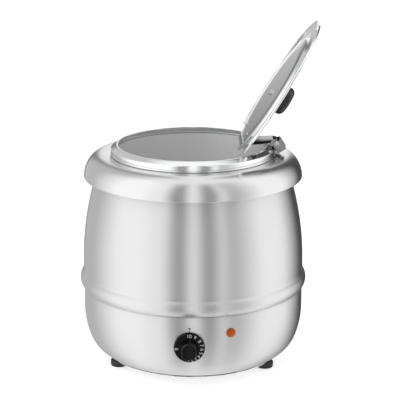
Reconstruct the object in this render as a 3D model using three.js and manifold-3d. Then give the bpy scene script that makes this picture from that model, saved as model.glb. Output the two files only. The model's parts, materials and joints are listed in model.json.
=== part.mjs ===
// Soup kettle: an insert pot in an electrically heated water bath, with a parked hinged lid.
// Millimetres, +Z up, the control knob towards -Y and the lid's hinge towards +X.
// The origin is on the floor, at the middle of the space that the kettle takes with its lid open.
import * as THREE from "three";
import { mergeVertices } from "three/addons/utils/BufferGeometryUtils.js";
import Module from "manifold-3d";

const wasm = await Module();
wasm.setup();

// ---- Fits and sheet thicknesses ----
const GAP = 0.3; // between faces that touch
const SHEET = 1; // casings, tank, pot and lid
const COLLAR_SHEET = 1.2;
const RING_SHEET = 1.2;
const ROUND = 36; // sides of a large round piece
const FINE = 16; // sides of a small round piece
const SMALL = 10; // sides of a screw, rivet or hole
const CLEAR = 40; // cutting tools reach this far past the sheet that they cut

// ---- Well: pot, water bath and the wall space around them ----
const POT_R = 114.5; // pot's inside radius
const WATER_GAP = 11.5; // water around the pot
const WALL_SPACE = 37; // from the tank to the barrel's widest point
const COLLAR_TOP = 312.5; // height of the collar's flat top
const WATER_DEPTH = 8; // water under the pot
const ELECTRICS_H = 72; // height of the compartment under the tank
const CORNER = 12; // radius in the bottom corners of pot and tank

// ---- Casing ----
const FLOOR_GAP = 9; // floor to the base plate
const BARREL_LESS = 0.5; // lower wall's radius is this much under the barrel's
const BEAD_OUT = 5; // bead stands this far out of the barrel
const BEAD_H = 22.5;
const BEAD_Z = 123.75; // middle of the bead
const BELLY_Z = 150; // height where the barrel is widest
const TANK_TO_NECK = 7; // tank to the barrel's top edge
const BOWL_Z = 80; // where the lower wall starts to curve in
const BOWL_ARC = 124;
const BOWL_TURN = THREE.MathUtils.degToRad(19.8);
const HEEL_ARC = 48;
const SEAM_LAP = 20; // lower casing inside the upper one
const SEAM_STEP = 1.6; // joggle of the lower casing under the seam
const FLANGE_W = 19; // inward flange at the casing's bottom

// ---- Collar and lid ring ----
const COLLAR_IN = 2.6; // collar's skirt inside the barrel's widest radius
const COLLAR_SIDE_TURN = THREE.MathUtils.degToRad(36.87);
const SHOULDER_SHARE = 0.55; // shoulder's arc to the side's arc
const NECK_PLAY = 1.8; // from the barrel's neck out to the shoulder
const COLLAR_LIP = 8; // turned-down lip around the well
const POT_PLAY = 1.5; // pot in the collar's mouth
const RIM_W = 3.4; // pot rim's seat on the collar
const RIM_H = 3;
const RING_WALL_H = 9.5;
const RING_RISE = 4.8; // from the wall's top up to the mouth's edge
const RING_MOUTH_IN = 3.5; // mouth's edge inside the pot's wall
const RING_LIP = 4;

// ---- Lid, strap and bracket ----
const LID_OVERHANG = 3; // lid's rim outside the ring
const LID_SIT = 0.6; // lid's band above the ring's edge when shut
const LID_BAND = 28; // flat band around the sunken middle
const LID_SINK = 4;
const LID_STEP_W = 4;
const LID_RIM_H = 4;
const LID_OPEN = THREE.MathUtils.degToRad(122.4);
const LID_PASS = 1.5; // rear part of the lid inside the ring's mouth
const HINGE_BACK = 31.5; // from the ring's mouth in to the lid's hinge
const HINGE_UP = 4.2; // lid's hinge above the shut lid's band
const NOTCH_W = 32; // ladle notch
const NOTCH_D = 12;
const ROD_R = 1.65;
const EYE_PLAY = 0.25; // around the hinge rod
const ROD_L = 84;
const CLIP_Y = 34;
const CLIP_W = 10;
const CLIP_SHEET = 1.2;
const CLIP_FOOT_L = 20; // hinge line to the end of the clip's foot
const CLIP_RIVET_X = 14; // hinge line to the clip's rivet
const RIVET_R = 1.5;
const RIVET_HEAD_R = 2.4;
const STRAP_W = 25.2;
const STRAP_SHEET = 1.2;
const BRACKET_SHEET = 1.5;
const BRACKET_GAP = 0.5; // strap to the bracket's cheeks
const PIN_R = 2;
const PIN_OUT = 1.5; // strap's pin outside the ring's wall
const PIN_UP = 18.5; // strap's pin above the collar
const TAB_W = 9; // bracket's tab beside each cheek
const RIVET_OUT = 6.2; // rivet outside the strap's side
const RIVET_UP = 5.8; // rivet above the ring's lower edge
const LID_KNOB_R = 22;
const LID_KNOB_H = 16;
const LID_KNOB_UP = 10; // underside of the lid's knob above the band
const LID_SCREW_R = 2;

// ---- Controls and electrics ----
const KNOB_R = 22.5;
const KNOB_Z = 67.6;
const KNOB_DEPTH = 25;
const SKIRT_H = 5;
const HUB_R = 10.5; // at the knob's front
const HUB_TAPER = 3; // wider at the skirt
const GRIP_W = 18; // across the hub's flats
const KNOB_GAP = 1.6;
const SHAFT_R = 3;
const STAT_W = 34;
const STAT_H = 40;
const STAT_D = 24;
const STAT_SET_IN = 6; // thermostat body behind the wall
const STAT_SCREW_X = 14;
const PANEL_SCREW_HEAD_R = 3.4;
const LAMP_R = 6.85;
const LAMP_BODY_R = 4.8;
const LAMP_ANGLE = THREE.MathUtils.degToRad(-69);
const LAMP_Z = 86.3;
const GLAND_R = 9;
const GLAND_OUT = 27.5;
const GLAND_Z = 60;
const HEATER_R = 75; // heating tube's circle
const HEATER_TUBE_R = 4;
const STUD_R = 3;
const STUD_NUT_AF = 10; // across the flats
const STUD_NUT_H = 5;
const CLAMP_SHEET = 1.2;
const TIE_CIRCLE_R = 100;
const TIE_R = 4.5;
const SHIELD_Z = 45;
const TERMINAL_W = 40;
const TERMINAL_D = 18;
const TERMINAL_H = 18;
const TERMINAL_PITCH = 12;
const TERMINAL_SLOT = 7;
const BULB_R = 3;
const BULB_L = 60;
const BULB_ANGLE = THREE.MathUtils.degToRad(-120);

// ---- Feet ----
const FOOT_R = 12.5;
const FOOT_IN = 7; // foot's screw inside the base plate's edge
const FOOT_SCREW_R = 2.2;
const FOOT_RECESS_R = 5.5;
const FOOT_SEAT = 4.5; // height of the screw's seat in the foot
const FOOT_ANGLES = [90, 210, 330];
const TIE_ANGLES = [30, 150, 270];

// ---- Sizes that follow from the ones above ----
const potOuterR = POT_R + SHEET;
const tankR = potOuterR + WATER_GAP;
const tankOuterR = tankR + SHEET;
const barrelR = tankOuterR + WALL_SPACE;
const wallR = barrelR - BARREL_LESS;
const neckR = tankOuterR + TANK_TO_NECK;
const neckZ = COLLAR_TOP - COLLAR_SHEET - 2 * GAP - 2 * SHEET;
const plateZ = FLOOR_GAP; // underside of the base plate
const flangeZ = plateZ + SHEET + GAP; // underside of the casing's bottom flange
const tankZ = plateZ + SHEET + ELECTRICS_H; // underside of the tank
const potZ = tankZ + SHEET + WATER_DEPTH; // underside of the pot
const seamZ = BEAD_Z - BEAD_H / 2;
const collarR = barrelR - COLLAR_IN;
const shoulderR = neckR + NECK_PLAY; // where the collar's flat top starts to curve down
const sideArc = (collarR - shoulderR) / (1 - (1 - SHOULDER_SHARE) * Math.cos(COLLAR_SIDE_TURN));
const shoulderArc = SHOULDER_SHARE * sideArc;
const skirtZ =
  COLLAR_TOP - shoulderArc - (sideArc - shoulderArc) * Math.sin(COLLAR_SIDE_TURN);
const mouthR = potOuterR + POT_PLAY; // hole in the collar
const rimR = mouthR + RIM_W;
const ringInnerR = rimR + GAP + 0.1;
const ringR = ringInnerR + RING_SHEET;
const tabR = ringR + GAP; // inside of the bracket's tabs
const ringZ = COLLAR_TOP + GAP;
const ringMouthR = POT_R - RING_MOUTH_IN;
const ringTop = ringZ + RING_WALL_H + RING_RISE;
const lidR = ringR + LID_OVERHANG;
const lidZ = ringTop + LID_SIT + SHEET / 2; // middle of the shut lid's band
const lidPassR = ringMouthR - LID_PASS;
const hingeX = ringMouthR - HINGE_BACK;
const hingeZ = lidZ + HINGE_UP;
const pinX = ringR + PIN_OUT;
const pinZ = COLLAR_TOP + PIN_UP;
const bowlCentre = { r: wallR - BOWL_ARC, z: BOWL_Z };
const heelCentre = {
  r: bowlCentre.r + (BOWL_ARC - HEEL_ARC) * Math.cos(BOWL_TURN),
  z: bowlCentre.z - (BOWL_ARC - HEEL_ARC) * Math.sin(BOWL_TURN),
};
const heelEnd = Math.asin((heelCentre.z - flangeZ) / HEEL_ARC);
const heelR = heelCentre.r + HEEL_ARC * Math.cos(heelEnd);
const plateR = heelR + 1.7;
const footCircleR = plateR - FOOT_IN;
const flangeInR = heelR - FLANGE_W; // inner edge of the casing's bottom flange
const heaterZ = tankZ - GAP - HEATER_TUBE_R;
const clampZ = heaterZ - HEATER_TUBE_R - GAP; // top of the heater's clamp plate
const clampNutZ = clampZ - CLAMP_SHEET - GAP; // top of its nut

// ---- Materials ----
const finish = (color, roughness, metalness) =>
  new THREE.MeshStandardMaterial({ color, roughness, metalness });
const brushed = finish(0xc9cacb, 0.3, 1);
const polished = finish(0xe2e3e4, 0.08, 1);
const satin = finish(0xb9babb, 0.42, 1);
const plated = finish(0xa9abad, 0.35, 1);
const blackPlastic = finish(0x141414, 0.35, 0);
const rubber = finish(0x101010, 0.85, 0);
const amber = finish(0xd84a14, 0.2, 0);
const copper = finish(0xb87333, 0.3, 1);
const ceramic = finish(0xe6e0d2, 0.6, 0);

// ---- Solid helpers ----

// A closed geometry as a solid that can be cut and joined.
function solidOf(geometry) {
  const loose = geometry.index ? geometry.toNonIndexed() : geometry;
  const bare = new THREE.BufferGeometry();
  bare.setAttribute("position", loose.getAttribute("position"));
  const merged = mergeVertices(bare, 1e-3);
  return new wasm.Manifold(
    new wasm.Mesh({
      numProp: 3,
      vertProperties: merged.attributes.position.array,
      triVerts: new Uint32Array(merged.index.array),
    }),
  );
}

function geometryOf(solid) {
  const mesh = solid.getMesh();
  const geometry = new THREE.BufferGeometry();
  geometry.setAttribute("position", new THREE.BufferAttribute(mesh.vertProperties, 3));
  geometry.setIndex(new THREE.BufferAttribute(mesh.triVerts, 1));
  const faceted = geometry.toNonIndexed();
  faceted.computeVertexNormals();
  return faceted;
}

const cut = (body, ...tools) =>
  geometryOf(tools.reduce((left, tool) => left.subtract(solidOf(tool)), solidOf(body)));

const join = (body, ...others) =>
  geometryOf(others.reduce((whole, other) => whole.add(solidOf(other)), solidOf(body)));

const common = (body, other) => geometryOf(solidOf(body).intersect(solidOf(other)));

// A hollow round piece: the outline is a closed loop of [radius, height] points.
function shell(outline, sides = ROUND) {
  const points = [...outline, outline[0]].map(([r, z]) => new THREE.Vector2(r, z));
  return new THREE.LatheGeometry(points, sides).rotateX(Math.PI / 2);
}

// A round piece that is solid on its axis: the outline starts and ends there.
function turned(outline, sides = FINE) {
  const points = outline.map(([r, z]) => new THREE.Vector2(r, z));
  return new THREE.LatheGeometry(points, sides).rotateX(Math.PI / 2);
}

const disc = (r, low, high, sides = FINE) =>
  turned([[0, low], [r, low], [r, high], [0, high]], sides);

const washer = (inner, outer, low, high, sides = FINE) =>
  shell([[inner, low], [outer, low], [outer, high], [inner, high]], sides);

const box = (x0, x1, y0, y1, z0, z1) =>
  new THREE.BoxGeometry(x1 - x0, y1 - y0, z1 - z0).translate(
    (x0 + x1) / 2,
    (y0 + y1) / 2,
    (z0 + z1) / 2,
  );

// A round bar along Y.
const bar = (r, y0, y1, sides = FINE) =>
  new THREE.CylinderGeometry(r, r, y1 - y0, sides).translate(0, (y0 + y1) / 2, 0);

// A plate whose outline is drawn in X and Z, between two Y faces.
function plate(outline, y0, y1) {
  const shape = new THREE.Shape(outline.map(([x, z]) => new THREE.Vector2(x, z)));
  return new THREE.ExtrudeGeometry(shape, { depth: y1 - y0, bevelEnabled: false })
    .rotateX(Math.PI / 2)
    .translate(0, y1, 0);
}

// Points of an arc in the radius-height plane, with angles from the outward direction.
function arc(centreR, centreZ, radius, from, to, steps) {
  return Array.from({ length: steps + 1 }, (_, i) => {
    const angle = from + ((to - from) * i) / steps;
    return [centreR + radius * Math.cos(angle), centreZ + radius * Math.sin(angle)];
  });
}

// Distance from the axis to the flats of a faceted round wall.
const flatOf = (r) => r * Math.cos(Math.PI / ROUND);

const hexNut = (acrossFlats, hole, low, high) =>
  cut(disc(acrossFlats / Math.sqrt(3), low, high, 6), disc(hole, low - 1, high + 1, SMALL));

// A rivet on the Z axis: flat head below, shank between the two heights, crowned head above.
const rivet = (low, high) =>
  turned(
    [
      [0, low - 0.9],
      [RIVET_HEAD_R, low - 0.9],
      [RIVET_HEAD_R, low],
      [RIVET_R, low],
      [RIVET_R, high],
      [RIVET_HEAD_R, high],
      [RIVET_HEAD_R - 0.8, high + 1],
      [0, high + 1],
    ],
    SMALL,
  );

const turnedTo = (geometry, degrees, radius) =>
  geometry.translate(radius, 0, 0).rotateZ(THREE.MathUtils.degToRad(degrees));

function piece(group, name, geometry, material) {
  const mesh = new THREE.Mesh(geometry, material);
  mesh.name = name;
  group.add(mesh);
  return mesh;
}

// ---- Casing ----

// Barrel's outside radius at a height above the seam.
function barrelAt(z) {
  const share = (z - BELLY_Z) / (neckZ - BELLY_Z);
  return barrelR - (barrelR - neckR) * share * share;
}

// Lower wall's outside radius at a height.
function bowlAt(z) {
  if (z >= bowlCentre.z) return wallR;
  const heelTop = heelCentre.z - HEEL_ARC * Math.sin(BOWL_TURN);
  if (z >= heelTop) return bowlCentre.r + Math.sqrt(BOWL_ARC ** 2 - (z - bowlCentre.z) ** 2);
  return heelCentre.r + Math.sqrt(HEEL_ARC ** 2 - (z - heelCentre.z) ** 2);
}

// Barrel with the pressed bead at its bottom edge and an inward flange at its neck.
function upperCasing() {
  const beadArc = (BEAD_H ** 2 / 4 + BEAD_OUT ** 2) / (2 * BEAD_OUT);
  const half = Math.asin(BEAD_H / 2 / beadArc);
  const bead = arc(barrelR + BEAD_OUT - beadArc, BEAD_Z, beadArc, -half, half, 6);
  const top = neckZ + SHEET;
  const heights = [0.14, 0.36, 0.58, 0.79, 1].map((share) => BELLY_Z + share * (top - BELLY_Z));
  const outside = [...bead, [barrelR, BELLY_Z], ...heights.map((z) => [barrelAt(z), z])];
  const inside = outside.map(([r, z]) => [r - SHEET, z]);
  inside[inside.length - 1][1] = neckZ;
  const flangeR = tankOuterR + POT_PLAY;
  return shell([...outside, [flangeR, top], [flangeR, neckZ], ...inside.reverse()]);
}

// Bowl-shaped lower wall, joggled in at its top to pass inside the seam.
function lowerCasing() {
  const bowl = (inset, steps) => [
    ...arc(heelCentre.r, heelCentre.z, HEEL_ARC - inset, -heelEnd, -BOWL_TURN, steps),
    ...arc(bowlCentre.r, bowlCentre.z, BOWL_ARC - inset, -BOWL_TURN, 0, 3).slice(1),
  ];
  const lapR = barrelR - SHEET - SEAM_STEP;
  const joggleZ = seamZ - 1.5;
  const top = seamZ + SEAM_LAP;
  const outside = [...bowl(0, 5), [wallR, joggleZ - 2], [lapR, joggleZ], [lapR, top]];
  const inside = [
    [lapR - SHEET, top],
    [lapR - SHEET, joggleZ],
    [wallR - SHEET, joggleZ - 2],
    ...bowl(SHEET, 5).reverse(),
  ];
  inside[inside.length - 1][1] = flangeZ + SHEET;
  const flange = [[flangeInR, flangeZ + SHEET], [flangeInR, flangeZ]];
  const through = (r, x, z) => bar(r, -wallR - 5, -wallR + 25).translate(x, 0, z);
  const lampHole = disc(LAMP_BODY_R + GAP, -10, 10)
    .rotateY(Math.PI / 2)
    .translate(wallR, 0, LAMP_Z)
    .rotateZ(LAMP_ANGLE);
  const glandHole = bar(GLAND_R + GAP, wallR - 25, wallR + 5).translate(0, 0, GLAND_Z);
  const footHoles = FOOT_ANGLES.map((degrees) =>
    turnedTo(disc(FOOT_SCREW_R + GAP, plateZ - 5, flangeZ + 5, SMALL), degrees, footCircleR),
  );
  return cut(
    shell([...outside, ...inside, ...flange]),
    through(SHAFT_R + 1, 0, KNOB_Z),
    through(FOOT_SCREW_R + GAP, -STAT_SCREW_X, KNOB_Z),
    through(FOOT_SCREW_R + GAP, STAT_SCREW_X, KNOB_Z),
    lampHole,
    glandHole,
    ...footHoles,
  );
}

// Pressed top cover: curled skirt, rounded shoulder, flat top and a lip down into the well.
function topCollar() {
  const crownZ = COLLAR_TOP - shoulderArc;
  const skin = (inset) => [
    ...arc(collarR - sideArc, skirtZ, sideArc - inset, 0, COLLAR_SIDE_TURN, 3),
    ...arc(shoulderR, crownZ, shoulderArc - inset, COLLAR_SIDE_TURN, Math.PI / 2, 3).slice(1),
  ];
  const returnR = barrelAt(skirtZ) + POT_PLAY;
  const lipZ = COLLAR_TOP - COLLAR_LIP;
  return shell([
    [returnR, skirtZ],
    ...skin(0),
    [mouthR, COLLAR_TOP],
    [mouthR, lipZ],
    [mouthR + COLLAR_SHEET, lipZ],
    [mouthR + COLLAR_SHEET, COLLAR_TOP - COLLAR_SHEET],
    ...skin(COLLAR_SHEET).reverse().slice(0, -1),
    [collarR - COLLAR_SHEET, skirtZ + COLLAR_SHEET],
    [returnR, skirtZ + COLLAR_SHEET],
  ]);
}

function basePlate() {
  const hole = (r, degrees, radius) =>
    turnedTo(disc(r, plateZ - 5, plateZ + 5, SMALL), degrees, radius);
  return cut(
    disc(plateR, plateZ, plateZ + SHEET, ROUND),
    ...FOOT_ANGLES.map((degrees) => hole(FOOT_SCREW_R + GAP, degrees, footCircleR)),
    ...TIE_ANGLES.map((degrees) => hole(STUD_R + GAP, degrees, TIE_CIRCLE_R)),
  );
}

// ---- Vessels ----

// A round vessel's wall from its rim down to its floor, seen from outside.
function vesselWall(r, low, high, corner) {
  return [[0, low], ...arc(r - corner, low + corner, corner, -Math.PI / 2, 0, 3), [r, high]];
}

// Water bath with its rim under the collar and the heater's stud on its floor.
function waterTank() {
  const rimZ = neckZ + SHEET + GAP;
  const rimOutR = neckR + SHEET;
  const outside = vesselWall(tankOuterR, tankZ, rimZ, CORNER);
  const inside = vesselWall(tankR, tankZ + SHEET, rimZ + SHEET, CORNER - SHEET);
  const tank = turned(
    [...outside, [rimOutR, rimZ], [rimOutR, rimZ + SHEET], ...inside.reverse()],
    ROUND,
  );
  return join(tank, disc(STUD_R, clampNutZ - STUD_NUT_H - 2, tankZ + SHEET / 2, SMALL));
}

// Lift-out soup pot, with a thick rolled rim that seats on the collar.
function insertPot() {
  const rimZ = COLLAR_TOP + GAP;
  const outside = vesselWall(potOuterR, potZ, rimZ, CORNER);
  const inside = vesselWall(POT_R, potZ + SHEET, rimZ + RIM_H, CORNER - SHEET);
  const rim = [[rimR - 0.8, rimZ], [rimR, rimZ + 0.8], [rimR, rimZ + RIM_H - 0.8]];
  return turned([...outside, ...rim, [rimR - 0.8, rimZ + RIM_H], ...inside.reverse()], ROUND);
}

// ---- Lid ring, bracket and strap ----

function lidRing() {
  const wallTop = ringZ + RING_WALL_H;
  const soft = 1.6;
  const ring = shell([
    [ringInnerR, ringZ],
    [ringR, ringZ],
    [ringR, wallTop - soft],
    [ringR - soft * 0.6, wallTop],
    [ringMouthR + 1.2, ringTop],
    [ringMouthR, ringTop - 0.9],
    [ringMouthR, ringTop - RING_LIP],
    [ringMouthR + RING_SHEET, ringTop - RING_LIP],
    [ringMouthR + RING_SHEET, ringTop - RING_SHEET - 0.9],
    [ringInnerR, wallTop - soft],
  ]);
  return cut(ring, rivetHole(-1), rivetHole(1));
}

// Turns a piece drawn along Z to point out through the ring's wall beside the bracket.
const throughTab = (geometry, side) =>
  geometry
    .rotateY(Math.PI / 2)
    .translate(0, 0, ringZ + RIVET_UP)
    .rotateZ(side * Math.asin((STRAP_W / 2 + RIVET_OUT) / ringR));

const rivetHole = (side) => throughTab(disc(RIVET_R + GAP, ringR - 4, ringR + 4, SMALL), side);

function bracketRivet(side) {
  return throughTab(rivet(flatOf(ringInnerR) - GAP, tabR + BRACKET_SHEET + GAP), side);
}

// U-shaped bracket: two cheeks, a sloping web that stops the strap, and a tab on each side.
function hingeBracket() {
  const inY = STRAP_W / 2 + BRACKET_GAP;
  const outY = inY + BRACKET_SHEET;
  const coneZ = ringZ + RING_WALL_H + GAP;
  const web = [[pinX + 4.2, pinZ + 4.1], [pinX + 12.7, pinZ - 9]];
  const cheek = (y0, y1) =>
    plate(
      [
        [tabR, ringZ + 0.5],
        [tabR, coneZ],
        [pinX - 4.7, pinZ - 5.4],
        [pinX - 4.7, pinZ - 1.5],
        [pinX - 2.5, pinZ + 2],
        ...web,
      ],
      y0,
      y1,
    );
  const webPlate = plate(
    [web[0], [pinX + 5.4, pinZ + 4.9], [pinX + 13.9, pinZ - 8.2], web[1]].reverse(),
    -outY,
    outY,
  );
  const bandTop = ringZ + RING_WALL_H - 0.6;
  const band = washer(tabR, tabR + BRACKET_SHEET, ringZ + 0.9, bandTop, ROUND * 2);
  const tab = (y0, y1) => common(band, box(ringR / 2, ringR * 2, y0, y1, 0, pinZ));
  return cut(
    join(
      webPlate,
      cheek(-outY, -inY),
      cheek(inY, outY),
      tab(-outY - TAB_W, -inY),
      tab(inY, outY + TAB_W),
    ),
    bar(PIN_R + GAP, -CLEAR, CLEAR, SMALL).translate(pinX, 0, pinZ),
    rivetHole(-1),
    rivetHole(1),
  );
}

function hingePin() {
  const half = STRAP_W / 2 + BRACKET_GAP + BRACKET_SHEET + GAP;
  return join(
    bar(PIN_R, -half - 0.5, half + 0.5),
    bar(PIN_R + 1.6, -half - 1.4, -half),
    bar(PIN_R + 1.6, half, half + 1.4),
  ).translate(pinX, 0, pinZ);
}

// Channel-shaped strap from the bracket's pin to the lid's hinge rod.
function lidStrap() {
  const half = STRAP_W / 2;
  const topIn = hingeZ + 3.2;
  const topOut = pinZ + 6;
  const backX = pinX - 5.5;
  const slope = (x) => topIn + ((topOut - topIn) * (x - hingeX)) / (backX - hingeX);
  const eye = 3;
  const side = [
    [hingeX - 2.2, hingeZ - 2.2],
    [hingeX + 2.2, hingeZ - eye],
    [ringMouthR + 1.5, hingeZ - 1.6],
    [ringMouthR + 2, ringTop + GAP],
    [ringMouthR + 5, ringTop + GAP - 1.6],
    [pinX - 3.6, pinZ - 3],
    [pinX, pinZ - 4.2],
    [pinX + 3.6, pinZ - 2.4],
    [pinX + 3.8, pinZ + 1.6],
    [pinX + 1, pinZ + 4.2],
    [backX, topOut],
    [hingeX, topIn],
    [hingeX - eye, hingeZ + 1.4],
  ];
  const cheek = (y0, y1) => plate(side, y0, y1);
  const top = plate(
    [
      [hingeX + 1, slope(hingeX + 1) - STRAP_SHEET],
      [backX, topOut - STRAP_SHEET],
      [backX, topOut],
      [hingeX + 1, slope(hingeX + 1)],
    ],
    -half,
    half,
  );
  return cut(
    join(top, cheek(-half, -half + STRAP_SHEET), cheek(half - STRAP_SHEET, half)),
    bar(PIN_R + GAP, -CLEAR, CLEAR, SMALL).translate(pinX, 0, pinZ),
    bar(ROD_R + EYE_PLAY, -CLEAR, CLEAR, SMALL).translate(hingeX, 0, hingeZ),
  );
}

const hingeRod = () => bar(ROD_R, -ROD_L / 2, ROD_L / 2, SMALL).translate(hingeX, 0, hingeZ);

// ---- Lid, drawn shut ----

function lidSheet() {
  const bandR = lidR - LID_BAND;
  const floorR = bandR - LID_STEP_W;
  const half = SHEET / 2;
  const bend = 1.8;
  const sheet = turned(
    [
      [0, lidZ - LID_SINK - half],
      [floorR, lidZ - LID_SINK - half],
      [bandR, lidZ - half],
      [lidR - bend, lidZ - half],
      [lidR - SHEET, lidZ - bend],
      [lidR - SHEET, lidZ - LID_RIM_H],
      [lidR, lidZ - LID_RIM_H],
      [lidR, lidZ - bend + half],
      [lidR - bend + half, lidZ + half],
      [bandR, lidZ + half],
      [floorR, lidZ - LID_SINK + half],
      [0, lidZ - LID_SINK + half],
    ],
    ROUND,
  );
  const low = lidZ - CLEAR / 2;
  const high = lidZ + CLEAR / 2;
  const rearBlank = common(
    washer(lidPassR, lidR * 2, low, high, ROUND),
    box(hingeX - 1, lidR * 2, -lidR * 2, lidR * 2, low, high),
  );
  const notch = join(
    disc(NOTCH_W / 2, low, high).scale(NOTCH_D / (NOTCH_W / 2), 1, 1).translate(-lidR, 0, 0),
    box(-lidR - 20, -lidR, -NOTCH_W / 2, NOTCH_W / 2, low, high),
  );
  const clipHoles = [-CLIP_Y, CLIP_Y].map((y) =>
    disc(RIVET_R + GAP, low, high, SMALL).translate(hingeX - CLIP_RIVET_X, y, 0),
  );
  return cut(sheet, rearBlank, notch, disc(LID_SCREW_R + GAP, low, high, SMALL), ...clipHoles);
}

// Sheet clip that hangs the lid on the hinge rod: foot, riser and a rolled eye.
function hingeClip(y) {
  const eyeR = ROD_R + EYE_PLAY + CLIP_SHEET;
  const footZ = lidZ - LID_SINK + SHEET / 2 + GAP;
  const leaf = plate(
    [
      [hingeX - CLIP_FOOT_L, footZ],
      [hingeX - 7.5, footZ],
      [hingeX - 1.2, hingeZ - eyeR + 0.3],
      [hingeX - 2.4, hingeZ - 1.2],
      [hingeX - 8.2, footZ + CLIP_SHEET],
      [hingeX - CLIP_FOOT_L, footZ + CLIP_SHEET],
    ],
    -CLIP_W / 2,
    CLIP_W / 2,
  );
  const eye = bar(eyeR, -CLIP_W / 2, CLIP_W / 2).translate(hingeX, 0, hingeZ);
  return cut(
    join(leaf, eye),
    bar(ROD_R + EYE_PLAY, -CLEAR, CLEAR, SMALL).translate(hingeX, 0, hingeZ),
    disc(RIVET_R + GAP, footZ - 5, footZ + 5, SMALL).translate(hingeX - CLIP_RIVET_X, 0, 0),
  ).translate(0, y, 0);
}

function clipRivet(y) {
  const low = lidZ - LID_SINK - SHEET / 2 - GAP;
  const high = lidZ - LID_SINK + SHEET / 2 + CLIP_SHEET + 2 * GAP;
  return rivet(low, high).translate(hingeX - CLIP_RIVET_X, y, 0);
}

// Round grip on a short neck.
function lidKnob() {
  const foot = lidZ - LID_SINK + SHEET / 2 + GAP;
  const low = lidZ + LID_KNOB_UP;
  const crown = LID_KNOB_H / 2;
  return cut(
    turned(
      [
        [0, foot],
        [9, foot],
        [7.5, low],
        ...arc(LID_KNOB_R - crown, low + crown, crown, -Math.PI / 2, Math.PI / 2, 6),
        [0, low + LID_KNOB_H],
      ],
      24,
    ),
    disc(LID_SCREW_R + GAP, foot - 5, low + 6, SMALL),
  );
}

function lidKnobScrew() {
  const under = lidZ - LID_SINK - SHEET / 2 - GAP;
  const tip = lidZ + LID_KNOB_UP + 4;
  const head = [[0, under - 2.4], [2 * LID_SCREW_R, under - 2], [2 * LID_SCREW_R, under]];
  return turned([...head, [LID_SCREW_R, under], [LID_SCREW_R, tip], [0, tip]], SMALL);
}

// ---- Controls ----

// Control knob about the Y axis: scale skirt and a tapered hub with two flats.
function controlKnob(back) {
  const skirt = turned(
    [[0, 0], [KNOB_R, 0], [KNOB_R, 1.6], [KNOB_R - 1.5, SKIRT_H], [0, SKIRT_H + 1.5]],
    32,
  );
  const grip = common(
    box(-GRIP_W / 2, GRIP_W / 2, -KNOB_R, KNOB_R, 1, KNOB_DEPTH),
    turned([[0, 0], [HUB_R + HUB_TAPER, 0], [HUB_R, KNOB_DEPTH], [0, KNOB_DEPTH]], 32),
  );
  const bore = disc(SHAFT_R + GAP, -5, KNOB_DEPTH - 5, SMALL);
  return cut(join(skirt, grip), bore).rotateX(Math.PI / 2).translate(0, -back, KNOB_Z);
}

function thermostat(kettle, knobBody, wallFace) {
  const front = wallFace - SHEET - STAT_SET_IN;
  const back = front - STAT_D;
  const faceY = -front;
  const body = cut(
    join(
      box(-STAT_W / 2, STAT_W / 2, faceY, -back, KNOB_Z - STAT_H / 2, KNOB_Z + STAT_H / 2),
      bar(SHAFT_R + 3, faceY - 2.5, faceY + 1).translate(0, 0, KNOB_Z),
    ),
    bar(SHAFT_R + GAP, faceY - 9, faceY + 12, SMALL).translate(0, 0, KNOB_Z),
    ...[-1, 1].map((side) =>
      bar(FOOT_SCREW_R + GAP, faceY - 1, faceY + 8, SMALL).translate(side * STAT_SCREW_X, 0, KNOB_Z),
    ),
  );
  piece(kettle, "thermostat_body", body, blackPlastic);
  for (const [name, side] of [["left", -1], ["right", 1]]) {
    const head = Math.sqrt(wallFace ** 2 - STAT_SCREW_X ** 2) + GAP;
    const screw = join(
      bar(FOOT_SCREW_R, -head - 0.2, faceY + 7, SMALL),
      bar(PANEL_SCREW_HEAD_R, -head - 1.4, -head, SMALL),
    ).translate(side * STAT_SCREW_X, 0, KNOB_Z);
    piece(kettle, `thermostat_screw_${name}`, screw, plated);
  }
  const shaft = bar(SHAFT_R, -wallFace - KNOB_GAP - KNOB_DEPTH + 5.5, faceY + 11, SMALL);
  piece(knobBody, "thermostat_shaft", shaft.translate(0, 0, KNOB_Z), plated);
  return { sideX: -STAT_W / 2, y: (faceY - back) / 2, z: KNOB_Z + STAT_H / 4 };
}

function tubeAlong(points, radius, steps, sides) {
  const section = new THREE.Shape(
    Array.from({ length: sides }, (_, i) => {
      const angle = (2 * Math.PI * i) / sides;
      return new THREE.Vector2(radius * Math.cos(angle), radius * Math.sin(angle));
    }),
  );
  const path = new THREE.CatmullRomCurve3(points);
  return new THREE.ExtrudeGeometry(section, { steps, bevelEnabled: false, extrudePath: path });
}

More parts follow.
